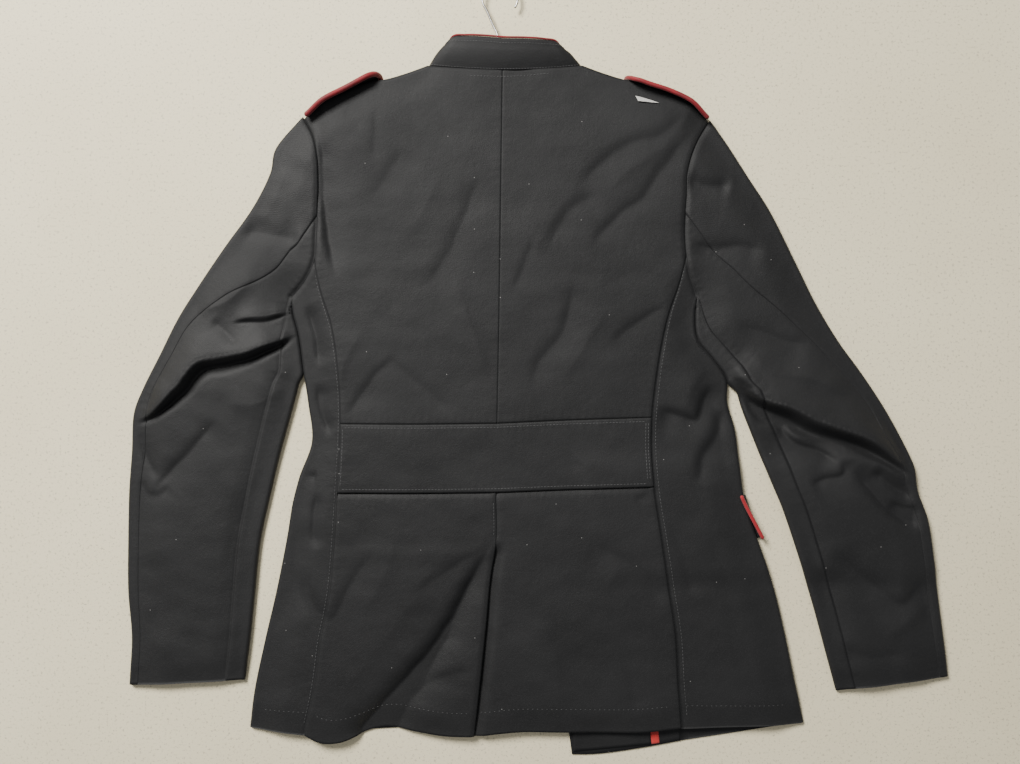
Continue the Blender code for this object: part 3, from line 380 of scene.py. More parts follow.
# creases: points, reach on the left and right of the run, depth, and kind. A row without a kind is an
# even trough or ridge. An over is a fold that stands proud on the right of its run and hangs over a
# hollow on its left, and an open one grows wider and deeper along its run
creaseFields = ("points", "left", "right", "depth", "kind")
creases = {
    "sleeveLeft": [
        ([(-216, 119), (-262, 101), (-288, 93), (-326, 86), (-349, 62), (-376, 33), (-400, 20)],
         17, 30, 6.5, "over"),
        ([(-224, 142), (-251, 138), (-290, 130)], 9, 14, 2.6, "over"),
        ([(-314, 131), (-298, 118), (-282, 105)], 8, 8, -1.6),
        ([(-307, 24), (-343, -17), (-368, -44), (-376, -58)], 20, 7, -2.4),
        ([(-396, 13), (-386, -20), (-371, -43)], 8, 6, -1.8),
        ([(-392, -40), (-384, -58), (-372, -60), (-358, -48)], 5, 14, -1.5),
        ([(-290, 232), (-255, 224), (-216, 220)], 26, 12, -3.0),
        ([(-232, 300), (-246, 262), (-262, 232)], 14, 42, 1.4),
        ([(-262, 182), (-300, 150), (-330, 140)], 10, 30, 1.6),
        ([(-258, -30), (-285, -90), (-300, -150)], 49, 16, -1),
        ([(-385, -120), (-372, -170), (-380, -220)], 42, 14, -1),
        ([(-236, 60), (-262, 40), (-300, 40)], 12, 38, 1.2),
    ],
    "sleeveRight": [
        ([(452, -36), (443, -29), (414, -6.5), (388, 8), (351, 19.5), (322, 34), (283, 48.5), (248, 71),
          (222, 104)],
         29, 34, 7.5, "over"),
        ([(300, 22), (309, 8), (324, -4), (348, -12), (371, -26)], 6, 16, -4.0),
        ([(371, -22), (374, -34), (352, -42), (336, -50)], 16, 5, -2.2),
        ([(305, 23), (322, 5), (351, 2), (388, -12), (425, -33), (443, -54)], 14, 9, 2.6),
        ([(384, -30), (406, -56), (430, -80), (462, -94)], 20, 8, -4.2),
        ([(454, -64), (430, -52), (404, -32)], 7, 13, -3.4),
        ([(470, -72), (446, -76), (424, -66)], 12, 4, -1.8),
        ([(363, -118), (401, -154), (439, -178), (468, -150)], 12, 36, -3),
        ([(466, -176), (440, -200), (420, -214)], 12, 38, 1.6),
        ([(202, 286), (224, 279), (252, 276)], 7, 14, -3.0),
        ([(208, 214), (232, 209), (262, 212), (290, 204)], 8, 18, -2.6),
        ([(262, 96), (300, 74), (344, 66), (380, 48)], 27, 9, 1.8),
        ([(258, 128), (300, 112), (340, 104)], 8, 25, -1.3),
        ([(300, -60), (332, -120), (352, -190)], 42, 14, -1.2),
        ([(372, -230), (400, -236), (440, -232)], 10, 30, -1),
    ],
    "body": [
        ([(-197, 345), (-193, 317), (-192, 262), (-185, 208), (-178, 176)], 20, 7, -7.5),
        ([(204, 361), (183, 337), (133, 319), (110, 302), (83, 273)], 28, 9, -3.8),
        ([(216, 343), (183, 304), (152, 262), (128, 244), (96, 205)], 28, 9, -3.8),
        ([(206, 350), (176, 318), (140, 294), (112, 264)], 10, 30, 1.6),
        ([(110, 269), (81, 254), (51, 210)], 29, 10, -2.4),
        ([(96, 282), (60, 246), (30, 190)], 12, 38, 1.4),
        ([(36, 219), (26, 190), (15, 163)], 19, 6, -1.7),
        ([(-20, 293), (-40, 243), (-61, 195), (-85, 163)], 32, 11, -2.4),
        ([(-102, 319), (-122, 290), (-141, 260)], 32, 11, -1.8),
        ([(-60, 300), (-84, 250), (-110, 210)], 14, 42, 1.3),
        ([(83, 172), (66, 113), (39, 77), (36, 54)], 28, 9, -3),
        ([(116, 150), (90, 100), (62, 60)], 11, 34, 1.5),
        ([(183, 147), (152, 130), (119, 104)], 23, 7, -2.8),
        ([(-111, 92), (-129, 77), (-170, 21)], 21, 7, -2.5),
        ([(-125, 92), (-64, 39), (-52, 25)], 12, 9, -2.5),
        ([(-52, 181), (-23, 98), (-14, 68)], 11, 34, 2),
        ([(-135, 363), (-135, 334), (-137, 304)], 19, 6, -1.3),
        ([(-170, 361), (-149, 337)], 9, 9, -1.3),
        ([(232, 62), (222, 40), (214, 24), (193, 26), (170, 34)], 30, 9, -9),
        ([(249, 44), (234, -1), (223, -17), (217, -49)], 30, 9, -7.5),
        ([(224, 84), (206, 52), (196, 10)], 7, 23, 1.7),
        ([(-199, 62), (-196, 34), (-190, 20), (-182, 6)], 16, 7, -5.0),
        ([(-219, -41), (-208, -38), (-198, -39)], 6, 12, -3.6),
        ([(-199, -56), (-203, -84), (-203, -104), (-199, -119)], 12, 6, -4.4),
        ([(-221, -84), (-224, -147), (-207, -192)], 20, 7, -2.2),
        ([(-209, -134), (-206, -174), (-185, -194), (-161, -154), (-134, -117)], 9, 27, -2.8),
        ([(-150, 120), (-168, 86), (-176, 52)], 7, 23, 1.3),
        ([(-212, 148), (-200, 112), (-197, 80)], 16, 7, -5.5),
        ([(-9, -112), (-37, -164), (-61, -212), (-87, -248), (-110, -276), (-142, -318)],
         36, 14, -19.0, "open"),
        ([(-44, -104), (-80, -150), (-112, -196), (-146, -240), (-180, -288)], 22, 60, 2.0),
        ([(-27, -250), (-58, -256), (-97, -278)], 22, 7, -1.9),
        ([(-5, -112), (-49, -136), (-97, -169)], 23, 7, -1.8),
        ([(172, -51), (160, -58), (145, -66)], 15, 5, -1.4),
        ([(183, -84), (202, -136), (210, -174)], 27, 9, -2.6),
        ([(228, -96), (246, -160), (262, -216)], 36, 12, -1.6),
        ([(95, -110), (127, -126), (159, -150), (180, -189)], 14, 24, -3.0),
        ([(40, -190), (60, -240), (64, -300)], 14, 42, 2.2),
        ([(120, -210), (140, -250), (150, -300)], 42, 14, -1.4),
        ([(-110, -100), (-128, -150), (-150, -190)], 11, 34, 1.4),
    ],
}
creaseLines = {group: [even(row[0], 26) for row in rows] for group, rows in creases.items()}

# depth and width of all creases together, and how sharp they are: a higher power gives flatter tops
creaseLook = {"depth": {"sleeveLeft": 1.35, "sleeveRight": 1.45, "body": 0.56},
              "width": {"sleeveLeft": 0.85, "sleeveRight": 0.85, "body": 0.68},
              "evenPower": {"sleeveLeft": 1.2, "sleeveRight": 1.2, "body": 1.45},
              "overPower": 1.7, "hollowPower": 3.6, "hollow": 1.15,
              "fall": {"sleeveLeft": 5.5, "sleeveRight": 8.5},
              "wander": 1.0, "wanderSize": 34, "farthest": 2.6}


def creaseShape(plan, group):
    # creases wander a little and fade towards their ends
    look = creaseLook
    wander = np.stack([ripple(plan, look["wanderSize"], seed) for seed in (3, 4)], -1) * look["wander"]
    total = np.zeros(plan.shape[:-1])
    for row, line in zip(creases[group], creaseLines[group]):
        crease = dict(zip(creaseFields, row))
        kind = crease.get("kind", "even")
        reach = look["farthest"] * max(crease["left"], crease["right"])
        low, high = line.min(0) - reach, line.max(0) + reach
        close = ((plan > low) & (plan < high)).all(-1)
        if not close.any():
            continue
        apart, turn, along = nearest((plan + wander)[close], line)
        width = np.where(turn > 0, crease["left"], crease["right"]) * look["width"][group]
        if kind == "over":
            taper = 0.3 + 0.7 * np.sin(math.pi * along)
            power = np.where(turn > 0, look["hollowPower"], look["overPower"])
            wall = look["fall"][group] * taper
            step = -np.tanh((turn * apart - wall) / (0.6 * wall))
            shape = np.exp(-(apart / (width * taper)) ** power) * step
            shape = np.where(turn > 0, shape * look["hollow"], shape)
        else:
            opening = 0.4 + 0.95 * along if kind == "open" else 1.0
            shape = np.exp(-(apart / (width * opening)) ** look["evenPower"][group]) * opening
        depth = crease["depth"] * look["depth"][group]
        ends = along if kind == "open" else np.minimum(along, 1 - along)
        total[close] += depth * shape * ease(ends * 4 + 0.1)
    return total


def moundAt(plan, place):
    apart = (plan - np.array(place)) / np.array(heights["spread"])
    return np.exp(-(apart**2).sum(-1))


edgeLines = [fold[::8] for fold, _ in bodyFolds.values()]
edgeLines += [sleeve[edge][::8] for sleeve in sleeves.values() for edge in ("outer", "inner")]
shoulderLines = [line[::6] for line in shoulders.values()]


def lowerHeight(plan):
    # outer face of the lower layer: on the floor, and over the pocket flap
    plan = np.asarray(plan, float)
    fold = bodyFolds["right"][0]
    x, y = plan[..., 0], plan[..., 1]
    foldX = np.interp(-y, -fold[:, 1], fold[:, 0])
    beyond = np.maximum(np.maximum(y - flap["top"], flap["foot"] - y), foldX - flap["length"] - x)
    level = ease(2 - beyond / flap["rise"]) * ease((x - flap["front"]) / flap["rise"])
    return flap["lift"] * level


def plainHeight(plan):
    flat = heights["body"] + heights["pad"] * sum(moundAt(plan, place) for place in heights["padPlaces"])
    flat = flat + heights["neck"] * moundAt(plan, (neck["x"], neck["y"]))
    apart = np.min([nearest(plan, line)[0] for line in edgeLines], axis=0)
    shoulderApart = np.min([nearest(plan, line)[0] for line in shoulderLines], axis=0)
    drop = np.maximum((flat - heights["edge"]) * (1 - ease(apart / heights["reach"])),
                      (flat - heights["shoulder"]) * (1 - ease(shoulderApart / heights["reach"])))
    return flat - drop, np.minimum(apart, shoulderApart)


def upperHeight(plan, group="body"):
    # outer face of the upper layer, with its creases and the cloth's own unevenness
    plan = np.asarray(plan, float)
    level, apart = plainHeight(plan)
    uneven = sum(height * ripple(plan, size, seed) for height, size, seed in clothWaves)
    shape = creaseShape(plan, group) + uneven
    shape = shape * (0.18 + 0.82 * ease(apart / heights["foldFade"]))
    return np.maximum(level + shape, heights["least"]) + lowerHeight(plan)


def frontHeight(plan):
    # the fronts rise to meet the back along the shoulder lines
    apart = np.minimum(*(nearest(plan, line)[0] for line in shoulderLines))
    meet = plainHeight(plan)[0] - heights["frontBelow"]
    floor = lowerHeight(plan)
    return floor + (meet - floor) * ease(1 - apart / heights["frontReach"])


def seamDip(plan, line, depth, width):
    # the cloth turns down into a seam, and puckers a little beside it
    apart, _, along = nearest(plan, line)
    run = along * runOf(line)[-1]
    wave = np.sin(run / pucker["pitch"] * 2 * math.pi + 1.7 * np.sin(run / pucker["drift"]))
    wave *= pucker["height"]
    beside = np.exp(-((apart - pucker["apart"]) / pucker["apart"]) ** 2)
    return -depth * np.exp(-(apart / width) ** 2) + wave * beside


# materials

twillLook = {"dark": (0.0083, 0.0084, 0.0087), "light": (0.0141, 0.0143, 0.0149), "rough": (0.58, 0.7),
             "sheen": 0.05, "sheenRough": 0.38, "sheenTint": (0.85, 0.86, 0.9, 1.0),
             "rib": 1.3, "ribBump": 0.00012, "shine": 0.36, "turn": 58, "lint": (0.3, 0.29, 0.28),
             "lintShare": 0.08, "lintScale": 34.0}
# scale of a wave texture that has one band in each unit of length
oneBand = 0.314


def nodesOf(name):
    material = bpy.data.materials.new(name)
    material.use_nodes = True
    tree = material.node_tree
    return material, tree, tree.nodes["Principled BSDF"]


def addNode(tree, kind, **values):
    node = tree.nodes.new(kind)
    for key, value in values.items():
        if hasattr(node, key):
            setattr(node, key, value)
        else:
            node.inputs[key.replace("_", " ")].default_value = value
    return node


def mixColours(tree, factor, first, second):
    mix = addNode(tree, "ShaderNodeMix", data_type="RGBA")
    tree.links.new(factor, mix.inputs[0])
    for place, value in ((6, first), (7, second)):
        if isinstance(value, tuple):
            mix.inputs[place].default_value = (*value, 1.0)
        else:
            tree.links.new(value, mix.inputs[place])
    return mix.outputs[2]


def spread(tree, factor, low, high, fromLow=0.0, fromHigh=1.0):
    node = addNode(tree, "ShaderNodeMapRange", From_Min=fromLow, From_Max=fromHigh, To_Min=low, To_Max=high)
    tree.links.new(factor, node.inputs[0])
    return node.outputs[0]


def placed(tree, space, scale=(1, 1, 1), turn=0.0):
    where = addNode(tree, "ShaderNodeTexCoord")
    mapping = addNode(tree, "ShaderNodeMapping")
    mapping.inputs["Scale"].default_value = scale
    mapping.inputs["Rotation"].default_value = (0, 0, turn)
    tree.links.new(where.outputs[space], mapping.inputs["Vector"])
    return mapping.outputs[0]


def noise(tree, vector, scale, detail=2.0, rough=0.5):
    node = addNode(tree, "ShaderNodeTexNoise", Scale=scale, Detail=detail, Roughness=rough)
    tree.links.new(vector, node.inputs["Vector"])
    return node.outputs[0]


def bumped(tree, shader, height, distance, strength=1.0, under=None):
    bump = addNode(tree, "ShaderNodeBump", Strength=strength, Distance=distance)
    tree.links.new(height, bump.inputs["Height"])
    if under is not None:
        tree.links.new(under, bump.inputs["Normal"])
    tree.links.new(bump.outputs[0], shader.inputs["Normal"])
    return bump.outputs[0]


def twillMaterial(name, tone=1.0, lint=True):
    look = twillLook
    material, tree, shader = nodesOf(name)
    where = placed(tree, "Object")
    weave = placed(tree, "UV", turn=math.radians(look["turn"]))
    ribs = addNode(tree, "ShaderNodeTexWave", wave_type="BANDS", bands_direction="X",
                   Scale=oneBand / (look["rib"] * mm), Distortion=2.5, Detail=2.0)
    tree.links.new(weave, ribs.inputs["Vector"])
    slubs = noise(tree, placed(tree, "UV", (260, 1500, 1)), 1.0, 3.0)
    blotch = noise(tree, where, 9.0, 3.0, 0.6)
    fibre = noise(tree, where, 950.0, 3.0, 0.7)
    fuzz = noise(tree, where, 620.0, 4.0, 0.75)
    dark = tuple(v * tone for v in look["dark"])
    light = tuple(v * tone for v in look["light"])
    colour = mixColours(tree, spread(tree, blotch, 0.05, 0.95, 0.3, 0.7), dark, light)
    colour = mixColours(tree, spread(tree, ribs.outputs[0], 0.0, 0.22), colour, dark)
    colour = mixColours(tree, spread(tree, slubs, 0.0, 0.5, 0.5, 0.8), colour, light)
    colour = mixColours(tree, spread(tree, fuzz, 0.0, 0.6, 0.5, 0.68), colour, tuple(v * 1.6 for v in light))
    if lint:
        flecks = addNode(tree, "ShaderNodeTexVoronoi", voronoi_dimensions="2D", Scale=look["lintScale"])
        tree.links.new(where, flecks.inputs["Vector"])
        near = spread(tree, flecks.outputs["Distance"], 1.0, 0.0, 0.008, 0.02)
        chosen = addNode(tree, "ShaderNodeSeparateColor")
        tree.links.new(flecks.outputs["Color"], chosen.inputs[0])
        gate = spread(tree, chosen.outputs[0], 1.0, 0.0, look["lintShare"], look["lintShare"] + 0.01)
        both = addNode(tree, "ShaderNodeMath", operation="MULTIPLY")
        tree.links.new(near, both.inputs[0])
        tree.links.new(gate, both.inputs[1])
        colour = mixColours(tree, both.outputs[0], colour, look["lint"])
    tree.links.new(colour, shader.inputs["Base Color"])
    tree.links.new(spread(tree, blotch, *look["rough"], 0.3, 0.7), shader.inputs["Roughness"])
    for socket, value in (("Sheen Weight", "sheen"), ("Sheen Roughness", "sheenRough"),
                          ("Sheen Tint", "sheenTint"), ("Specular IOR Level", "shine")):
        shader.inputs[socket].default_value = look[value]
    first = bumped(tree, shader, ribs.outputs[0], look["ribBump"], 0.35)
    second = bumped(tree, shader, fibre, 0.0005, 0.6, first)
    bumped(tree, shader, noise(tree, where, 70.0, 4.0, 0.6), 0.0012, 0.4, second)
    return material


# woven cords and tapes: dark and light colour, width of a thread, and roughness
cordLook = {
    "redCord": ((0.14, 0.0015, 0.005), (0.32, 0.004, 0.012), 0.9, 0.6),
    "redTape": ((0.3, 0.005, 0.01), (0.5, 0.012, 0.02), 0.7, 0.65),
    "redBinding": ((0.5, 0.02, 0.018), (0.78, 0.05, 0.042), 0.7, 0.65),
    "whiteTape": ((0.62, 0.61, 0.57), (0.8, 0.79, 0.75), 0.6, 0.75),
    "darkThread": ((0.04, 0.04, 0.041), (0.085, 0.085, 0.087), 0.4, 0.5),
}
steelLook = {"stained": (0.34, 0.33, 0.32), "clean": (0.56, 0.55, 0.53), "rough": (0.24, 0.46)}


def cordMaterial(name):
    # colour and bump follow fine slanted threads
    dark, light, ribs, rough = cordLook[name]
    material, tree, shader = nodesOf(name)
    where = placed(tree, "UV", turn=math.radians(35))
    threads = addNode(tree, "ShaderNodeTexWave", wave_type="BANDS", bands_direction="X",
                      Scale=oneBand / (ribs * mm), Distortion=1.2, Detail=1.0)
    tree.links.new(where, threads.inputs["Vector"])
    patchy = noise(tree, placed(tree, "Object"), 60.0, 3.0)
    colour = mixColours(tree, spread(tree, patchy, 0.0, 1.0, 0.3, 0.7), dark, light)
    colour = mixColours(tree, spread(tree, threads.outputs[0], 0.0, 0.4), colour, dark)
    tree.links.new(colour, shader.inputs["Base Color"])
    tree.links.new(spread(tree, patchy, rough - 0.08, rough + 0.08, 0.3, 0.7), shader.inputs["Roughness"])
    shader.inputs["Sheen Weight"].default_value = 0.25
    bumped(tree, shader, threads.outputs[0], 0.00015, 0.7)
    return material


def steelMaterial(name):
    material, tree, shader = nodesOf(name)
    where = placed(tree, "Object")
    grain = noise(tree, where, 420.0, 3.0, 0.7)
    stain = noise(tree, where, 60.0, 3.0)
    colour = spread(tree, stain, 0.0, 1.0, 0.35, 0.65)
    colour = mixColours(tree, colour, steelLook["stained"], steelLook["clean"])
    tree.links.new(colour, shader.inputs["Base Color"])
    tree.links.new(spread(tree, grain, *steelLook["rough"], 0.3, 0.7), shader.inputs["Roughness"])
    shader.inputs["Metallic"].default_value = 1.0
    bumped(tree, shader, grain, 0.00006, 0.5)
    return material


twill = twillMaterial("wornTwill")
twillInside = twillMaterial("twillInside", 0.9, lint=False)
redCord, redTape, redBinding, whiteTape, darkThread = (cordMaterial(name) for name in cordLook)
steel = steelMaterial("dullSteel")
print("materials mixed")


# building pieces

def addMesh(name, points, faces, material, uvs=None, rounded=None):
    data = bpy.data.meshes.new(name)
    data.from_pydata((np.asarray(points, float) * mm).tolist(), [], faces)
    if uvs is not None:
        layer = data.uv_layers.new(name="grain")
        corners = np.empty(len(data.loops), dtype=np.int64)
        data.loops.foreach_get("vertex_index", corners)
        layer.data.foreach_set("uv", (np.asarray(uvs)[corners] * mm).astype(np.float32).ravel())
    data.materials.append(material)
    data.shade_smooth()
    if rounded is not None:
        data.polygons.foreach_set("use_smooth", rounded)
    data.update()
    piece = bpy.data.objects.new(name, data)
    bpy.context.scene.collection.objects.link(piece)
    return piece


def clothWall(grid, inward, wall, start=0):
    # points, faces and grain of a cloth wall with a cut edge: outer face, inner face, rim
    rows, columns = grid.shape[:2]
    count = rows * columns
    number = np.arange(count).reshape(rows, columns)
    loop = np.concatenate([number[0], number[1:, -1], number[-1, -2::-1], number[-2:0:-1, 0]])
    outer, inner = grid.reshape(-1, 3), (grid + inward * wall).reshape(-1, 3)
    rim = (outer[loop] + inner[loop]) / 2
    around = np.roll(rim, -1, 0) - np.roll(rim, 1, 0)
    beyond = np.cross(around, (inner - outer)[loop])
    beyond /= np.maximum(np.linalg.norm(beyond, axis=1), 1e-9)[:, None]
    middle = grid.reshape(-1, 3)[number[rows // 2, columns // 2]]
    if ((rim - middle) * beyond).sum(1).mean() < 0:
        beyond = -beyond
    rim += beyond * cut["rimOut"]
    a, b, c, d = number[:-1, :-1], number[:-1, 1:], number[1:, 1:], number[1:, :-1]
    cells = np.stack([a, b, c, d], -1).reshape(-1, 4)
    normal = np.cross(outer[cells[:, 2]] - outer[cells[:, 0]], outer[cells[:, 3]] - outer[cells[:, 1]])
    if (normal * (inner - outer)[cells[:, 0]]).sum() > 0:
        cells = cells[:, ::-1]
    following = np.roll(loop, -1)
    edge = 2 * count + np.arange(len(loop))
    nextEdge = np.roll(edge, -1)
    sides = np.vstack([np.stack([loop, following, nextEdge, edge], 1),
                       np.stack([edge, nextEdge, following + count, loop + count], 1)])
    turnOut = np.cross(outer[following[0]] - outer[loop[0]], rim[0] - outer[loop[0]])
    if (turnOut * beyond[0]).sum() < 0:
        sides = sides[:, ::-1]
    faces = np.vstack([cells, cells[:, ::-1] + count, sides]) + start
    across = np.zeros((rows, columns))
    across[:, 1:] = np.cumsum(np.linalg.norm(np.diff(grid, axis=1), axis=2), axis=1)
    down = np.zeros((rows, columns))
    down[1:] = np.cumsum(np.linalg.norm(np.diff(grid, axis=0), axis=2), axis=0)
    middleColumn = down[:, columns // 2]
    grain = np.stack([across - across[:, columns // 2][:, None],
                      np.repeat(middleColumn[:, None], columns, 1)], -1).reshape(-1, 2)
    grain = np.vstack([grain, grain, grain[loop]])
    return np.vstack([outer, inner, rim]), faces, grain, np.arange(len(faces)) < 2 * len(cells)


def makeCloth(name, facts, grid, inward, material=twill, wall=cut["wall"]):
    points, faces, grain, rounded = clothWall(grid, inward, wall)
    declare(addMesh(name, points, faces.tolist(), material, grain, rounded), facts)


def straight(grid, way):
    inward = np.zeros_like(grid)
    inward[..., 2] = way
    return inward


def clothFacts(node, flat, area, restsOn, slot="twill", held="laid"):
    # a cloth piece's node, and its cut cloth's size and area in metres
    return {"nodes": [node], "slot": slot, "flat": flat, "area": area, "held": held, "restsOn": restsOn}


def declare(piece, facts):
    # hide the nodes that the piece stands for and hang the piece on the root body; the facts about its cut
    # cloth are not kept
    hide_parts(*facts["nodes"])
    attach(piece, "root")
    if "flat" in facts:
        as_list(facts["restsOn"])


# rings of a cord's rounded end, as shares of its radius: how far out, and how thick
cordEnd = ((0.7, 0.4), (0.35, 0.8))


def makeCord(name, node, slot, path, radius, material, sidesCount=12):
    # a round cord or wire along a 3-D path, with rounded ends
    path = np.asarray(path, float)
    ways = np.gradient(path, axis=0)
    ways /= np.linalg.norm(ways, axis=1)[:, None]
    up = np.array([0.0, 0.0, 1.0])
    beside = np.cross(ways, up)
    beside /= np.maximum(np.linalg.norm(beside, axis=1), 1e-6)[:, None]
    rise = np.cross(beside, ways)
    radii = [radius * share for _, share in cordEnd]
    radii = np.concatenate([radii, np.full(len(path), radius, float), radii[::-1]])
    path = np.vstack([path[0] - ways[0] * radius * share for share, _ in cordEnd] + [path]
                     + [path[-1] + ways[-1] * radius * share for share, _ in cordEnd[::-1]])
    beside = np.vstack([beside[:1]] * 2 + [beside] + [beside[-1:]] * 2)
    rise = np.vstack([rise[:1]] * 2 + [rise] + [rise[-1:]] * 2)
    angle = np.linspace(0, 2 * math.pi, sidesCount, endpoint=False)
    rings = path[:, None] + radii[:, None, None] * (np.cos(angle)[None, :, None] * beside[:, None]
                                                    + np.sin(angle)[None, :, None] * rise[:, None])
    count = len(path)
    faces = []
    for i in range(count - 1):
        here, after = i * sidesCount, (i + 1) * sidesCount
        for j in range(sidesCount):
            k = (j + 1) % sidesCount
            faces.append([here + j, after + j, after + k, here + k])
    faces.append(list(range(sidesCount)))
    faces.append([(count - 1) * sidesCount + j for j in reversed(range(sidesCount))])
    run = runOf(path)
    uvs = np.stack([np.repeat(run[:, None], sidesCount, 1),
                    np.repeat((angle * radius)[None], count, 0)], -1).reshape(-1, 2)
    declare(addMesh(name, rings.reshape(-1, 3), faces, material, uvs), {"nodes": [node], "slot": slot})


stitchLook = {
    "plain": {"length": 2.6, "pitch": 3.6, "radius": 0.27},
    "neck": {"length": 2.4, "pitch": 3.6, "radius": 0.27},
    "hem": {"length": 1.8, "pitch": 5.2, "radius": 0.22},
    "seam": {"length": 2.4, "pitch": 3.8, "radius": 0.27},
    "collar": {"length": 2.2, "pitch": 3.2, "radius": 0.27},
}
threadLift, threadDive = (0, 0, 0.1), 0.35


def stitchRow(paths, length, pitch, radius):
    # points and faces of thread stitches along 3-D paths: each a low bar that dives in at both ends
    points, faces = [], []
    for path in paths:
        path = np.asarray(path, float)
        total = runOf(path)[-1]
        for place in np.arange(pitch, total - pitch, pitch):
            spots = atRun(path, place + np.array([-0.5, -0.25, 0.25, 0.5]) * length)
            spots[[0, 3], 2] -= threadDive
            ahead = spots[3] - spots[0]
            ahead /= np.linalg.norm(ahead)
            beside = np.cross(ahead, [0.0, 0.0, 1.0])
            beside /= max(np.linalg.norm(beside), 1e-6)
            up = np.cross(beside, ahead)
            base = len(points)
            for spot in spots:
                for cosine, sine in ((1, 0), (0.5, 0.9), (-0.5, 0.9), (-1, 0)):
                    points.append(spot + radius * (beside * cosine + up * sine))
            for i in range(3):
                for j in range(3):
                    a = base + i * 4 + j
                    faces.append([a, a + 1, a + 5, a + 4])
    return points, faces


def makeStitches(name, paths, kind="plain"):
    points, faces = stitchRow(paths, **stitchLook[kind])
    piece = addMesh(name, points, faces, darkThread, np.zeros((len(points), 2)))
    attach(piece, "root")


# back panels and belt

backFacts = {
    "left": clothFacts("back_left", (0.225, 0.40), 0.0715, ["front_left", "hanger_frame"]),
    "right": clothFacts("back_right", (0.225, 0.40), 0.0715, ["front_right", "hanger_frame"]),
    "belt": clothFacts("belt_back", (0.35, 0.078), 0.0262, ["front_left", "front_right"]),
}
# how deep and how wide the cloth dips at each seam
seamLook = {"centre": (0.15, 1.2), "princess": (0.55, 2.0), "armhole": (1.7, 2.8), "belt": (0.3, 2.0),
            "beltTop": (0.45, 1.8), "beltFoot": (0.25, 1.4), "skirtTop": (1.5, 3.4), "skirtCentre": (0.9, 2.6),
            "elbow": (0.4, 1.8), "inseam": (0.4, 1.8)}
neckStitchLine = [(-34, 395.5), (5, 394.6), (58, 398.5)]


def bodyHeight(plan):
    height = upperHeight(plan, "body")
    for side in bothSides:
        height = height + seamDip(plan, armholes[side][::4], *seamLook["armhole"])
        height = height + seamDip(plan, princess[side][::6], *seamLook["princess"])
    return height


def backHeight(plan):
    upper = centre[:princessAt + steps["back"] + 1:6]
    height = bodyHeight(plan) + seamDip(plan, upper, *seamLook["centre"])
    for side in bothSides:
        height = height + seamDip(plan, beltLines["top", side][::6], *seamLook["belt"])
    return height


def makeBack():
    half = cut["seamGap"] / 2
    neckLine = backNeck(2 * steps["neck"])
    shift = 1 - np.linspace(-1, 1, len(neckLine))[:, None] ** 2
    neckLine = neckLine + shift * (centre[0] - neckLine[steps["neck"]])
    last = princessAt + steps["back"]
    for side in bothSides:
        outside = np.vstack([armholes[side][:princessAt + 1], princess[side][1:steps["back"] + 1]])
        inside = centre[:last + 1]
        if side == "left":
            top = np.vstack([shoulders[side], neckLine[1:steps["neck"] + 1]])
            plan = patch(top, beltLines["top", side], outside, inside, (0, half, half, half))
        else:
            top = np.vstack([neckLine[steps["neck"]:-1], shoulders[side][::-1]])
            plan = patch(top, beltLines["top", side], inside, outside, (0, half, half, half))
        grid = np.dstack([plan, backHeight(plan)])
        makeCloth("back" + side.title(), backFacts[side], grid, straight(grid, -1.0))
    top = np.vstack([beltLines["top", "left"], beltLines["top", "right"][1:]])
    foot = np.vstack([beltLines["foot", "left"], beltLines["foot", "right"][1:]])
    ends = [princess[side][steps["back"]:steps["back"] + steps["belt"] + 1] for side in bothSides]
    plan = patch(top, foot, *ends, (half, half, half, half))
    height = bodyHeight(plan) + cut["belt"]
    height += (seamDip(plan, top[::8], *seamLook["beltTop"])
               + seamDip(plan, foot[::8], *seamLook["beltFoot"]))
    grid = np.dstack([plan, height])
    makeCloth("beltBack", backFacts["belt"], grid, straight(grid, -1.0))
    rowAt = [grid[2, 2:-2], grid[-3, 2:-2]]
    columnAt = [grid[2:-2, 2], grid[2:-2, -3], grid[2:-2, -5]]
    makeStitches("beltStitches", [row + threadLift for row in rowAt + columnAt])
    plan = even(neckStitchLine, 60)
    makeStitches("neckStitches", [np.column_stack([plan, bodyHeight(plan) + 0.15])], "neck")


makeBack()
print("back and belt sewn")

# skirts with the centre vent

skirtFacts = {
    "left": clothFacts("skirt_left", (0.20, 0.275), 0.047, ["skirt_right", "front_left"]),
    "right": clothFacts("skirt_right", (0.26, 0.275), 0.0585, ["front_right"]),
}
# the vent's edge rises and rolls over a little, and the underlap lies under it
vent = {"under": 4.6, "room": 2.2, "ease": 16.0, "edgeRise": 0.6, "roll": 1.6, "rollWidth": 3.0,
        "tuckWidth": 7.0, "leastReach": 0.6}
# columns of the underlap: how far it reaches, how much of that lies sideways, and how deep it sinks
underlapColumns = ((1.0, 1.0, 1.0), (0.66, 0.8, 0.9), (0.33, 0.6, 0.6))
hemLook = {"sag": 2.6, "reach": 30.0, "wave": 0.7, "waveSize": 37.0, "ruffle": 0.4, "ruffleSize": 13.0,
           "stitchIn": 27.0}
hemSteps = steps["shoulder"] + steps["neck"]
hemLines = {"left": even([princess["left"][-1], *hemTable["left"], centreTable[-1]], hemSteps),
            "right": even([centreTable[-1], *hemTable["right"], princess["right"][-1]], hemSteps)}


def hemSag(plan, line):
    apart, _, along = nearest(plan, line)
    run = along * runOf(line)[-1]
    fall = 1 - ease(apart / hemLook["reach"])
    return fall * (-hemLook["sag"] + hemLook["wave"] * np.sin(run / hemLook["waveSize"] + 1.0)
                   + hemLook["ruffle"] * np.sin(run / hemLook["ruffleSize"]))


def hemStitchRow(grid, column):
    # the row of a panel's points where the turned hem is stitched
    run = runOf(grid[:, column])
    return int(np.searchsorted(run, run[-1] - hemLook["stitchIn"]))


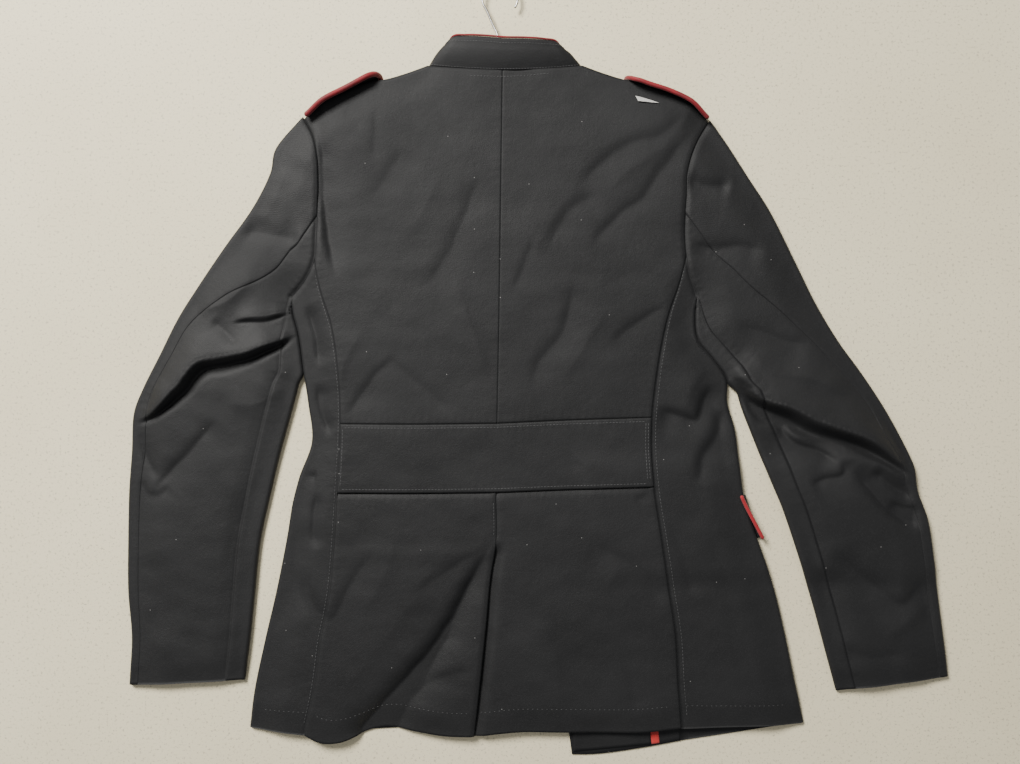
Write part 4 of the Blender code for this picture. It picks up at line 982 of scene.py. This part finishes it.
def skirtHeight(plan, side):
    height = bodyHeight(plan) + hemSag(plan, hemLines[side][::4])
    height += seamDip(plan, beltLines["foot", side][::6], *seamLook["skirtTop"])
    upper = centre[princessAt + steps["back"] + steps["belt"]:][:24:4]
    return height + seamDip(plan, upper, *seamLook["skirtCentre"])


def makeSkirts():
    half = cut["seamGap"] / 2
    first = steps["back"] + steps["belt"]
    middle = centre[princessAt + first:]
    gaps = (half, 0, half, half)
    plan = patch(beltLines["foot", "left"], hemLines["left"], princess["left"][first:], middle, gaps)
    height = skirtHeight(plan, "left")
    opened = ease((ventTop - plan[..., 1]) / vent["ease"])
    fromEdge = np.linalg.norm(plan - plan[:, -1:], axis=2)
    height += opened * (vent["edgeRise"] - vent["roll"] * np.exp(-(fromEdge / vent["rollWidth"]) ** 2))
    leftGrid = np.dstack([plan, height])
    makeCloth("skirtLeft", skirtFacts["left"], leftGrid, straight(leftGrid, -1.0))

    plan = patch(beltLines["foot", "right"], hemLines["right"], middle, princess["right"][first:], gaps)
    height = skirtHeight(plan, "right")
    below = ease((ventTop - plan[:, 0, 1]) / vent["ease"])
    fromEdge = np.linalg.norm(plan - plan[:, :1], axis=2)
    tuck = below[:, None] * np.exp(-(fromEdge / vent["tuckWidth"]) ** 2)
    height += (vent["under"] + vent["room"] - height) * tuck
    far, sideways, deep = np.array(underlapColumns).T
    reach = vent["leastReach"] + below[:, None] * (cut["underlap"] * far)
    under = np.repeat(plan[:, :1], len(underlapColumns), axis=1)
    under[..., 0] -= reach * sideways
    underHeight = height[:, :1] + (vent["under"] - height[:, :1]) * below[:, None] * deep
    grid = np.dstack([np.hstack([under, plan]), np.hstack([underHeight, height])])
    makeCloth("skirtRight", skirtFacts["right"], grid, straight(grid, -1.0))
    hemRows = [sheetGrid[hemStitchRow(sheetGrid, 30), 3:-2] + threadLift for sheetGrid in (leftGrid, grid)]
    makeStitches("hemStitches", hemRows, "hem")
    column = leftGrid[4:int(len(leftGrid) * 0.2), -3] + threadLift
    makeStitches("ventStitches", [column])


makeSkirts()
print("skirts sewn")

# panels folded round the body's sides

sideFacts = {
    "left": clothFacts("side_left", (0.17, 0.52), 0.0490, ["front_left"]),
    "right": clothFacts("side_right", (0.29, 0.52), 0.0935, ["front_right", "flap_right"]),
}


def turnOver(line, way, low, high):
    # the half round of a fold, from the upper layer to the lower one
    outer, inward = [], []
    for step in range(steps["fold"] + 1):
        angle = math.pi / 2 - math.pi * step / steps["fold"]
        plan = line + way * cut["foldRadius"] * math.cos(angle)
        z = (low + high) / 2 + (high - low) / 2 * math.sin(angle)
        outer.append(np.column_stack([plan, z]))
        inward.append(np.column_stack([-way * math.cos(angle), np.full(len(line), -math.sin(angle))]))
    return outer, inward


def layerOf(columns, height, way):
    grid = np.stack(columns, 1)
    z = height(grid)
    outer = [np.column_stack([grid[:, k], z[:, k]]) for k in range(grid.shape[1])]
    inward = [np.tile((0.0, 0.0, way), (len(grid), 1)) for _ in outer]
    return outer, inward


def joinLayers(parts):
    outer, inward = [], []
    for points, ways in parts:
        if outer and np.allclose(points[0], outer[-1], atol=1e-6):
            points, ways = points[1:], ways[1:]
        outer += points
        inward += ways
    return np.stack(outer, 1), np.stack(inward, 1)


def seamFoot(side):
    # the lower layer's seam follows the upper one, and hangs lower at the right front
    foot = princess[side].copy()
    if side == "right":
        share = np.clip((np.arange(len(foot)) - steps["back"] - steps["belt"]) / steps["skirt"], 0, 1)
        foot[:, 1] -= cut["frontDrop"] * share**2
    return foot


def sideHemSag(plan, side):
    line = np.array([princess[side][-1], bodyFolds[side][0][-1]])
    return hemSag(plan, line)


def makeSides():
    half = cut["seamGap"] / 2
    for side in bothSides:
        out = 1.0 if side == "left" else -1.0
        line, way = (values.copy() for values in bodyFolds[side])
        seam = princess[side] - sideWay(princess[side]) * half * out
        top = armholes[side][princessAt:] + sideWay(armholes[side])[princessAt:] * half * out
        line[0] = top[-1]
        count = len(top) - 1
        fade = np.clip(1 - np.arange(len(line)) / fadeRows["side"], 0, 1)[:, None] ** 1.5
        upper = []
        for j in range(count + 1):
            share = j / count
            bow = top[j] - (seam[0] * (1 - share) + line[0] * share)
            upper.append(seam * (1 - share) + line * share + bow * fade)
        foot = seamFoot(side) - sideWay(princess[side]) * half * out
        lower = []
        for j in [count, *range(count - 2, 2, -steps["hidden"]), 0]:
            share = j / count
            bow = top[j] - (foot[0] * (1 - share) + line[0] * share)
            lower.append(foot * (1 - share) + line * share + bow * fade)

        def height(plan):
            return bodyHeight(plan) + sideHemSag(plan, side)

        parts = [layerOf(upper, height, -1.0),
                 turnOver(line, way, lowerHeight(line), height(line)),
                 layerOf(lower, lowerHeight, 1.0)]
        grid, inward = joinLayers(parts)
        makeCloth("side" + side.title(), sideFacts[side], grid, inward)
        hemRow = grid[hemStitchRow(grid, 8), 1:count - 1] + threadLift
        makeStitches("hemStitches" + side.title(), [hemRow], "hem")
        makeStitches("seamStitches" + side.title(), [grid[6:-4, 2] + threadLift], "seam")


makeSides()
print("sides folded")

# fronts, facing and its binding

frontFacts = {
    "left": clothFacts("front_left", (0.27, 0.73), 0.1495, ["floor"]),
    "right": clothFacts("front_right", (0.22, 0.75), 0.1025, ["floor", "flap_right"]),
    "facing": clothFacts("facing_right", (0.086, 0.082), 0.0065, ["front_right"], slot="facing"),
    "binding": clothFacts("facing_binding", (0.0105, 0.080), 0.0008, ["front_right"], slot="piping"),
}
facing = {"corners": ((76, -262), (158, -258), (80.5, -341), (166, -333)), "wall": 1.1, "height": 2.2,
          "wave": 0.12, "waveSize": 20, "binding": 9.0, "bindingGap": 0.2, "bindingWall": 1.0,
          "bindingLift": 0.7, "crown": 0.9}


def makeFronts():
    half = cut["seamGap"] / 2
    for side in bothSides:
        seam = seamFoot(side)
        outside = np.vstack([armholes[side][:princessAt + 1], seam[1:]])[::2]
        edge = even(frontEdgeTable[side], len(outside) - 1)
        neckLine = frontNeck(side, steps["neck"] // 2)
        top = np.vstack([shoulders[side][::2], neckLine[1:]])
        hem = even([outside[-1], *frontHemTable[side][::-1], frontEdgeTable[side][-1]], len(top) - 1)
        if side == "left":
            plan = patch(top, hem, outside, edge, (0, 0, half, 0))
        else:
            plan = patch(top[::-1], hem[::-1], edge, outside, (0, 0, 0, half))
        grid = np.dstack([plan, frontHeight(plan)])
        makeCloth("front" + side.title(), frontFacts[side], grid, straight(grid, 1.0), wall=cut["frontWall"])


def quadGrid(corners, rows, columns):
    a, b, c, d = (np.array(corner, float) for corner in corners)
    v = np.linspace(0, 1, rows)[:, None, None]
    u = np.linspace(0, 1, columns)[None, :, None]
    return (1 - v) * ((1 - u) * a + u * b) + v * ((1 - u) * c + u * d)


def makeFacing():
    plan = quadGrid(facing["corners"], 30, 32)
    grid = np.dstack([plan, facing["height"] + facing["wave"] * ripple(plan, facing["waveSize"], 21)])
    makeCloth("facingRight", frontFacts["facing"], grid, straight(grid, 1.0), twillInside, facing["wall"])
    b, d = (np.array(facing["corners"][k], float) for k in (1, 3))
    run = (d - b) / np.linalg.norm(d - b)
    beside = np.array([-run[1], run[0]])
    near, far = beside * facing["bindingGap"], beside * (facing["bindingGap"] + facing["binding"])
    plan = quadGrid((b + near, b + far, d + near, d + far), 40, 9)
    crown = np.sin(np.linspace(0, math.pi, 9))[None] ** 0.6
    grid = np.dstack([plan, np.full(plan.shape[:2], facing["height"])])
    top = grid.copy()
    top[..., 2] += facing["bindingLift"] + facing["crown"] * crown
    makeCloth("facingBinding", frontFacts["binding"], top, grid - top, redBinding, facing["bindingWall"])


makeFronts()
makeFacing()
print("fronts laid")

# sleeves

sleeveFacts = {
    "topLeft": clothFacts("sleeve_top_left", (0.27, 0.62), 0.105, ["floor"]),
    "topRight": clothFacts("sleeve_top_right", (0.28, 0.64), 0.110, ["floor"]),
    "underLeft": clothFacts("sleeve_under_left", (0.12, 0.52), 0.0505, ["sleeve_top_left"]),
    "underRight": clothFacts("sleeve_under_right", (0.12, 0.52), 0.0500, ["sleeve_top_right"]),
}
cuffSag = {"depth": 1.8, "reach": 26.0}


def makeSleeves():
    half = cut["seamGap"] / 2
    for side in bothSides:
        out = -1.0 if side == "left" else 1.0
        sleeve = sleeves[side]
        armhole = armholes[side] + sideWay(armholes[side]) * half * out
        outer, inner = sleeve["outer"].copy(), sleeve["inner"].copy()
        outer[0], inner[0] = armhole[0], armhole[-1]
        rows = sleeve["rows"]
        elbow = sleeve["elbow"][:, None]
        inseam = np.interp(rows, [0, fadeRows["inseam"]], [armholeShares["inseam"], inseamShare])[:, None]
        fade = (np.clip(1 - rows / fadeRows["sleeve"], 0, 1) ** 2)[:, None]
        last = len(armhole) - 1

        def column(share, start):
            bow = start - (outer[0] * (1 - share[0]) + inner[0] * share[0])
            return outer * (1 - share) + inner * share + bow * fade

        def upperColumn(j):
            if j <= elbowAt:
                share = elbow * j / elbowAt
            elif j <= inseamAt:
                share = elbow + (inseam - elbow) * (j - elbowAt) / (inseamAt - elbowAt)
            else:
                share = inseam + (1 - inseam) * (j - inseamAt) / (last - inseamAt)
            return column(share, armhole[j])

        upper = [upperColumn(j) for j in range(last + 1)]
        below = [0, *range(2, last - 1, steps["hidden"]), last]
        lower = [column(np.full_like(elbow, k / last), armhole[k]) for k in below]
        elbowSeam, inseamSeam = upper[elbowAt], upper[inseamAt]
        cuffLine = np.array([outer[-1], inner[-1]])
        group = "sleeve" + side.title()

        def height(plan):
            level = upperHeight(plan, group)
            level += (seamDip(plan, elbowSeam[::6], *seamLook["elbow"])
                      + seamDip(plan, inseamSeam[::6], *seamLook["inseam"]))
            level += seamDip(plan, armholes[side][::4], *seamLook["armhole"])
            apart = nearest(plan, cuffLine)[0]
            return level - cuffSag["depth"] * (1 - ease(apart / cuffSag["reach"]))

        top = [elbowSeam - sideWay(elbowSeam) * half * -out] + upper[elbowAt - 1::-1]
        strip = [upper[j] for j in range(last, inseamAt, -1)]
        strip += [inseamSeam + sideWay(inseamSeam) * half * -out]
        up, upWay = turnOver(inner, sleeve["innerWay"], lowerHeight(inner), height(inner))
        parts = [layerOf(top, height, -1.0),
                 turnOver(outer, sleeve["outerWay"], lowerHeight(outer), height(outer)),
                 layerOf(lower, lowerHeight, 1.0), (up[::-1], upWay[::-1]), layerOf(strip, height, -1.0)]
        grid, inward = joinLayers(parts)
        makeCloth("sleeveTop" + side.title(), sleeveFacts["top" + side.title()], grid, inward)
        under = upper[elbowAt:inseamAt + 1]
        under[0] = elbowSeam + sideWay(elbowSeam) * half * -out
        under[-1] = inseamSeam - sideWay(inseamSeam) * half * -out
        plan = np.stack(under, 1)
        grid = np.dstack([plan, height(plan)])
        makeCloth("sleeveUnder" + side.title(), sleeveFacts["under" + side.title()], grid, straight(grid, -1.0))


makeSleeves()
print("sleeves set in")

# collar stand with its piping

collarFacts = clothFacts("collar", (0.31, 0.045), 0.0118, ["front_left", "front_right"], held="folded")
collar = {"wall": 1.7, "bulge": 2.0, "columns": 120, "rows": 14, "groove": 0.79, "pipingRadius": 1.1,
          "pipingRise": 1.5, "stitchShares": (0.07, 0.86), "tilt": 0.1, "grooveDepth": 0.45,
          "grooveWidth": 0.05, "lowest": 0.5}
# right half from the centre back round to the centre front: neck seam, then upper edge
collarTable = [
    (0, 400.6, 15.6, 0, 433.0, 24.0), (28, 401.4, 15.0, 22, 432.8, 23.5), (56, 403.8, 13.0, 43, 432.0, 21.5),
    (75, 406.2, 10.8, 57, 430.6, 18.0), (82, 407.7, 8.6, 61, 428.0, 14.6), (84, 408.3, 5.6, 61.5, 425.6, 11.0),
    (81.3, 402.5, 3.4, 58, 422.5, 7.6), (75.8, 391.5, 1.6, 52, 414.0, 4.6), (70.6, 375.0, 0.3, 45, 402.0, 2.2),
    (41.5, 350.2, 0.0, 27, 384.0, 0.6), (2, 341.3, 0.0, 2.5, 377.0, 0.0),
]


def makeCollar():
    table = np.array(collarTable, float)
    left = table[:0:-1] * [-1, 1, 1, -1, 1, 1]
    left[:, 4] -= collar["tilt"] * left[:, 3]
    ring = np.vstack([left, table])
    ring[[0, -1], 0] = [frontEdgeTable[side][0][0] - neck["x"] for side in bothSides]
    ring = even(ring, collar["columns"])
    base, top = ring[:, :3] + (neck["x"], 0, 0), ring[:, 3:] + (neck["x"], 0, 0)
    shares = np.linspace(0, 1, collar["rows"])[:, None, None]
    wall = base * (1 - shares) + top * shares
    out = squareWays(wall)
    groove = collar["grooveDepth"] * np.exp(-((shares - collar["groove"]) / collar["grooveWidth"]) ** 2)
    wall += out * (collar["bulge"] * np.sin(math.pi * shares) - groove)
    wall[..., 2] = np.maximum(wall[..., 2], collar["lowest"])
    inward = -squareWays(wall)
    makeCloth("collarStand", collarFacts, wall, inward, wall=collar["wall"])
    rise = np.cross(np.gradient(wall[-1], axis=0), inward[-1])
    rise /= np.linalg.norm(rise, axis=1)[:, None]
    path = wall[-1] + inward[-1] * collar["wall"] / 2 + rise * collar["pipingRise"]
    path[:, 2] = np.maximum(path[:, 2], collar["pipingRadius"])
    path = even(path[6:-6], 150)
    makeCord("collarPiping", "collar_piping", "piping", path, collar["pipingRadius"], redCord)
    paths = []
    for share in collar["stitchShares"]:
        row = share * (collar["rows"] - 1)
        low = int(row)
        line = wall[low] * (low + 1 - row) + wall[low + 1] * (row - low)
        paths.append((line + out[low] * 0.12)[24:-24])
    makeStitches("collarStitches", paths, "collar")


makeCollar()
print("collar stood up")

# shoulder straps on edge, with piping round them

strapFacts = {
    "left": clothFacts("strap_left", (0.086, 0.038), 0.0026, ["front_left"], held="folded"),
    "right": clothFacts("strap_right", (0.088, 0.038), 0.0027, ["front_right"], held="folded"),
}
# section: how far out from the shoulder line and how high, from the strap's inner edge to its outer one
strap = {"width": 36.0, "top": 20.0, "wall": 2.0, "round": 0.8, "piping": {"left": 2.9, "right": 2.4},
         "gap": 0.2, "creaseTop": 4.0, "lowEnd": (0.62, 0.38), "riseLength": 30, "aboveFloor": 0.1,
         "section": ((-12, 1.3), (0, 1.4), (2.8, 2.6), (4.4, 6.5), (4.6, 12), (4.6, 20.0))}
strapEdge = {
    "left": [(-209.5, 353.5), (-192, 366.5), (-161.5, 382.5), (-140, 394.5)],
    "right": [(225, 350.5), (206, 366.5), (184.5, 377), (159, 385.5), (147, 390)],
}


def strapSurface(side):
    # a function from the strap's own length and width to its middle surface
    edge = even(strapEdge[side], 60)
    out = 1.0 if side == "left" else -1.0
    line = shoulders[side]
    section = even(np.array(strap["section"], float), 40)
    sectionRun = runOf(section) * strap["width"] / runOf(section)[-1]
    run = runOf(edge)
    baseWay = sideWay(line) * out

    def foot(plan):
        place = nearest(plan, line)[2] * runOf(line)[-1]
        point = atRun(line, [place])[0]
        way = np.array([np.interp(place, runOf(line), baseWay[:, k]) for k in (0, 1)])
        return point, way / np.linalg.norm(way)

    def at(length, width):
        over = max(0.0, length - run[-1])
        rim = np.array([np.interp(length, run, edge[:, k]) for k in (0, 1)])
        ahead = edge[-1] - edge[-4]
        rim = rim + ahead / np.linalg.norm(ahead) * over
        point, way = foot(rim)
        beyond = max(0.0, width - strap["width"])
        outBy = np.interp(width, sectionRun, section[:, 0])
        z = np.interp(width, sectionRun, section[:, 1])
        rise = np.clip((z - strap["creaseTop"]) / (strap["top"] - strap["creaseTop"]), 0, 1)
        low, more = strap["lowEnd"]
        z *= low + more * ease((length + 4) / strap["riseLength"])
        z = max(z, strap["wall"] / 2 + strap["aboveFloor"])
        lean = (rim - (point + way * section[-1, 0])) * rise
        return np.array([*(point + way * outBy + lean), z + beyond])

    return at, run[-1]


def makeStraps():
    roundness = strap["width"] / 2
    for side in bothSides:
        at, length = strapSurface(side)
        straightPart = length - roundness * 0.4
        stations = [(place, 0.0, strap["width"]) for place in np.linspace(0, straightPart, 30)]
        for angle in np.radians((12, 24, 36, 48, 60, 70, 80)):
            halfWidth = roundness * math.cos(angle)
            place = straightPart + roundness * math.sin(angle) * strap["round"]
            stations.append((place, roundness - halfWidth, roundness + halfWidth))
        widths = np.linspace(0, 1, 16)
        middle = np.array([[at(place, low + (high - low) * share) for share in widths]
                           for place, low, high in stations])
        square = squareWays(middle)
        middle -= square * strap["wall"] / 2
        makeCloth("strap" + side.title(), strapFacts[side], middle, square, wall=strap["wall"])
        reach = strap["gap"] + strap["piping"][side]
        path = [at(place, strap["width"] + reach) for place in np.linspace(0, straightPart, 24)]
        for angle in np.radians(np.arange(9, 91, 9)):
            place = straightPart + roundness * math.sin(angle) * strap["round"] + reach * math.sin(angle)
            path.append(at(place, roundness + (roundness + reach) * math.cos(angle)))
        makeCord("strapPiping" + side.title(), "strap_piping_" + side, "piping", even(path, 70),
                 strap["piping"][side], redCord, 16)


makeStraps()
print("straps set on edge")

# blank label, pocket flap and hanger

labelFacts = clothFacts("label", (0.024, 0.0102), 0.00008, ["back_right"], slot="label")
label = {"corners": ((147, 374), (163, 369.5), (150, 368), (173, 366)), "wall": 0.6, "lift": 1.7,
         "wave": 0.25, "waveSize": 3.4}
flapFacts = clothFacts("flap_right", (0.155, 0.05), 0.0069, ["floor"])
hanger = {"radius": 1.25, "shank": [(-3, 399.7, 9.0), (-3, 425, 9.5), (-3, 443, 8.5), (-8, 454, 8.0)],
          "hookRadius": 19.5, "hookY": 483.0, "hookHeight": 8.0, "hookEnds": (215, -32)}


def makeLabel():
    plan = quadGrid(label["corners"], 8, 20)
    level = plainHeight(plan)[0] + lowerHeight(plan)
    grid = np.dstack([plan, level + label["lift"] + label["wave"] * np.sin(plan[..., 0] / label["waveSize"])])
    makeCloth("labelTape", labelFacts, grid, straight(grid, -1.0), whiteTape, label["wall"])


def makeFlap():
    line, way = bodyFolds["right"]
    places = np.linspace(flap["top"], flap["foot"], 26)
    plan = np.column_stack([np.interp(-places, -line[:, 1], line[:, 0]), places])
    facingWay = np.column_stack([np.interp(-places, -line[:, 1], way[:, k]) for k in (0, 1)])
    centreHeight = cut["foldRadius"] + flap["lift"]
    standsOut = facingWay * np.linspace(0, flap["out"], len(plan))[:, None]
    ends = np.radians(np.linspace(*flap["angles"], len(plan)))[:, None]
    outer, inward = [], []
    for reach in np.linspace(flap["length"], flap["tuckedIn"], 36):
        outer.append(np.column_stack([plan - (reach, 0.0), np.zeros(len(plan))]))
        inward.append(np.tile((0.0, 0.0, 1.0), (len(plan), 1)))
    for share in np.linspace(0, 1, 22):
        angle = -math.pi / 2 * (1 - share) + ends * share
        rim = plan + standsOut * share + facingWay * centreHeight * np.cos(angle)
        outer.append(np.column_stack([rim, centreHeight + centreHeight * np.sin(angle)]))
        inward.append(np.column_stack([-facingWay * np.cos(angle), -np.sin(angle)]))
    makeCloth("flapRight", flapFacts, np.stack(outer, 1), np.stack(inward, 1), wall=flap["wall"])
    angle = ends + flap["pipingOut"] / centreHeight
    radius = cut["foldRadius"] + flap["pipingOut"]
    path = np.column_stack([plan + standsOut + facingWay * radius * np.cos(angle),
                            centreHeight + radius * np.sin(angle)])
    makeCord("flapPiping", "flap_piping", "piping", path, flap["piping"], redTape, 14)


def makeHook():
    angles = np.radians(np.linspace(*hanger["hookEnds"], 40))
    loop = [(hanger["hookRadius"] * math.cos(a), hanger["hookY"] + hanger["hookRadius"] * math.sin(a),
             hanger["hookHeight"]) for a in angles]
    path = even(hanger["shank"] + loop, 140)
    makeCord("hangerHook", "hanger_hook", "wire", path, hanger["radius"], steel, 16)
    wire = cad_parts["hanger_frame"]
    wire.data.materials.clear()
    wire.data.materials.append(steel)


makeLabel()
makeFlap()
makeHook()
print("trim added")

# plain pale floor and soft light

studio = {"floor": (0.98, 0.885, 0.62), "floorDark": (0.9, 0.8, 0.55), "speck": (0.2, 0.19, 0.16),
          "floorReach": 4000, "world": 0.26, "worldColour": (0.97, 0.98, 1.0),
          "key": {"place": (-1.2, 1.6, 1.85), "size": 1.1, "power": 132.0, "colour": (1.0, 0.98, 0.945)},
          "fill": {"place": (1.8, -0.6, 2.2), "size": 2.4, "power": 3.0, "colour": (0.95, 0.97, 1.0)}}


def makeFloor():
    material, tree, shader = nodesOf("paleFloor")
    far = studio["floorReach"]
    corners = [(-far, -far, 0), (far, -far, 0), (far, far, 0), (-far, far, 0)]
    piece = addMesh("floor", corners, [[0, 1, 2, 3]], material)
    where = placed(tree, "Object")
    soft = noise(tree, where, 2.2, 4.0, 0.6)
    grains = noise(tree, where, 330.0, 3.0, 0.7)
    colour = mixColours(tree, spread(tree, soft, 0.0, 1.0, 0.35, 0.65), studio["floor"], studio["floorDark"])
    colour = mixColours(tree, spread(tree, grains, 0.45, 0.0, 0.34, 0.44), colour, studio["speck"])
    tree.links.new(colour, shader.inputs["Base Color"])
    tree.links.new(spread(tree, grains, 0.55, 0.8), shader.inputs["Roughness"])
    bumped(tree, shader, grains, 0.0004, 0.3)
    piece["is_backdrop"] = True


def softLight(name, facts):
    data = bpy.data.lights.new(name, "AREA")
    data.shape = "DISK"
    data.size = facts["size"]
    data.energy = facts["power"]
    data.color = facts["colour"]
    lamp = bpy.data.objects.new(name, data)
    lamp.location = facts["place"]
    away = np.array(facts["place"]) - (viewFrom["middle"][0] * mm, viewFrom["middle"][1] * mm, 0.0)
    lamp.rotation_euler = (math.atan2(math.hypot(away[0], away[1]), away[2]), 0,
                           math.atan2(away[1], away[0]) + math.pi / 2)
    bpy.context.scene.collection.objects.link(lamp)


makeFloor()
softLight("keyLight", studio["key"])
softLight("fillLight", studio["fill"])
world = bpy.data.worlds.new("paleRoom")
world.use_nodes = True
background = world.node_tree.nodes["Background"]
background.inputs[0].default_value = (*studio["worldColour"], 1.0)
background.inputs[1].default_value = studio["world"]
bpy.context.scene.world = world
print("floor and lights placed")

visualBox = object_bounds()
rows = ['"%s": [%s]' % (name, ", ".join("[%.5f, %.5f, %.5f]" % tuple(corner) for corner in box))
        for name, box in (("cad", cadBox), ("visual", visualBox))]
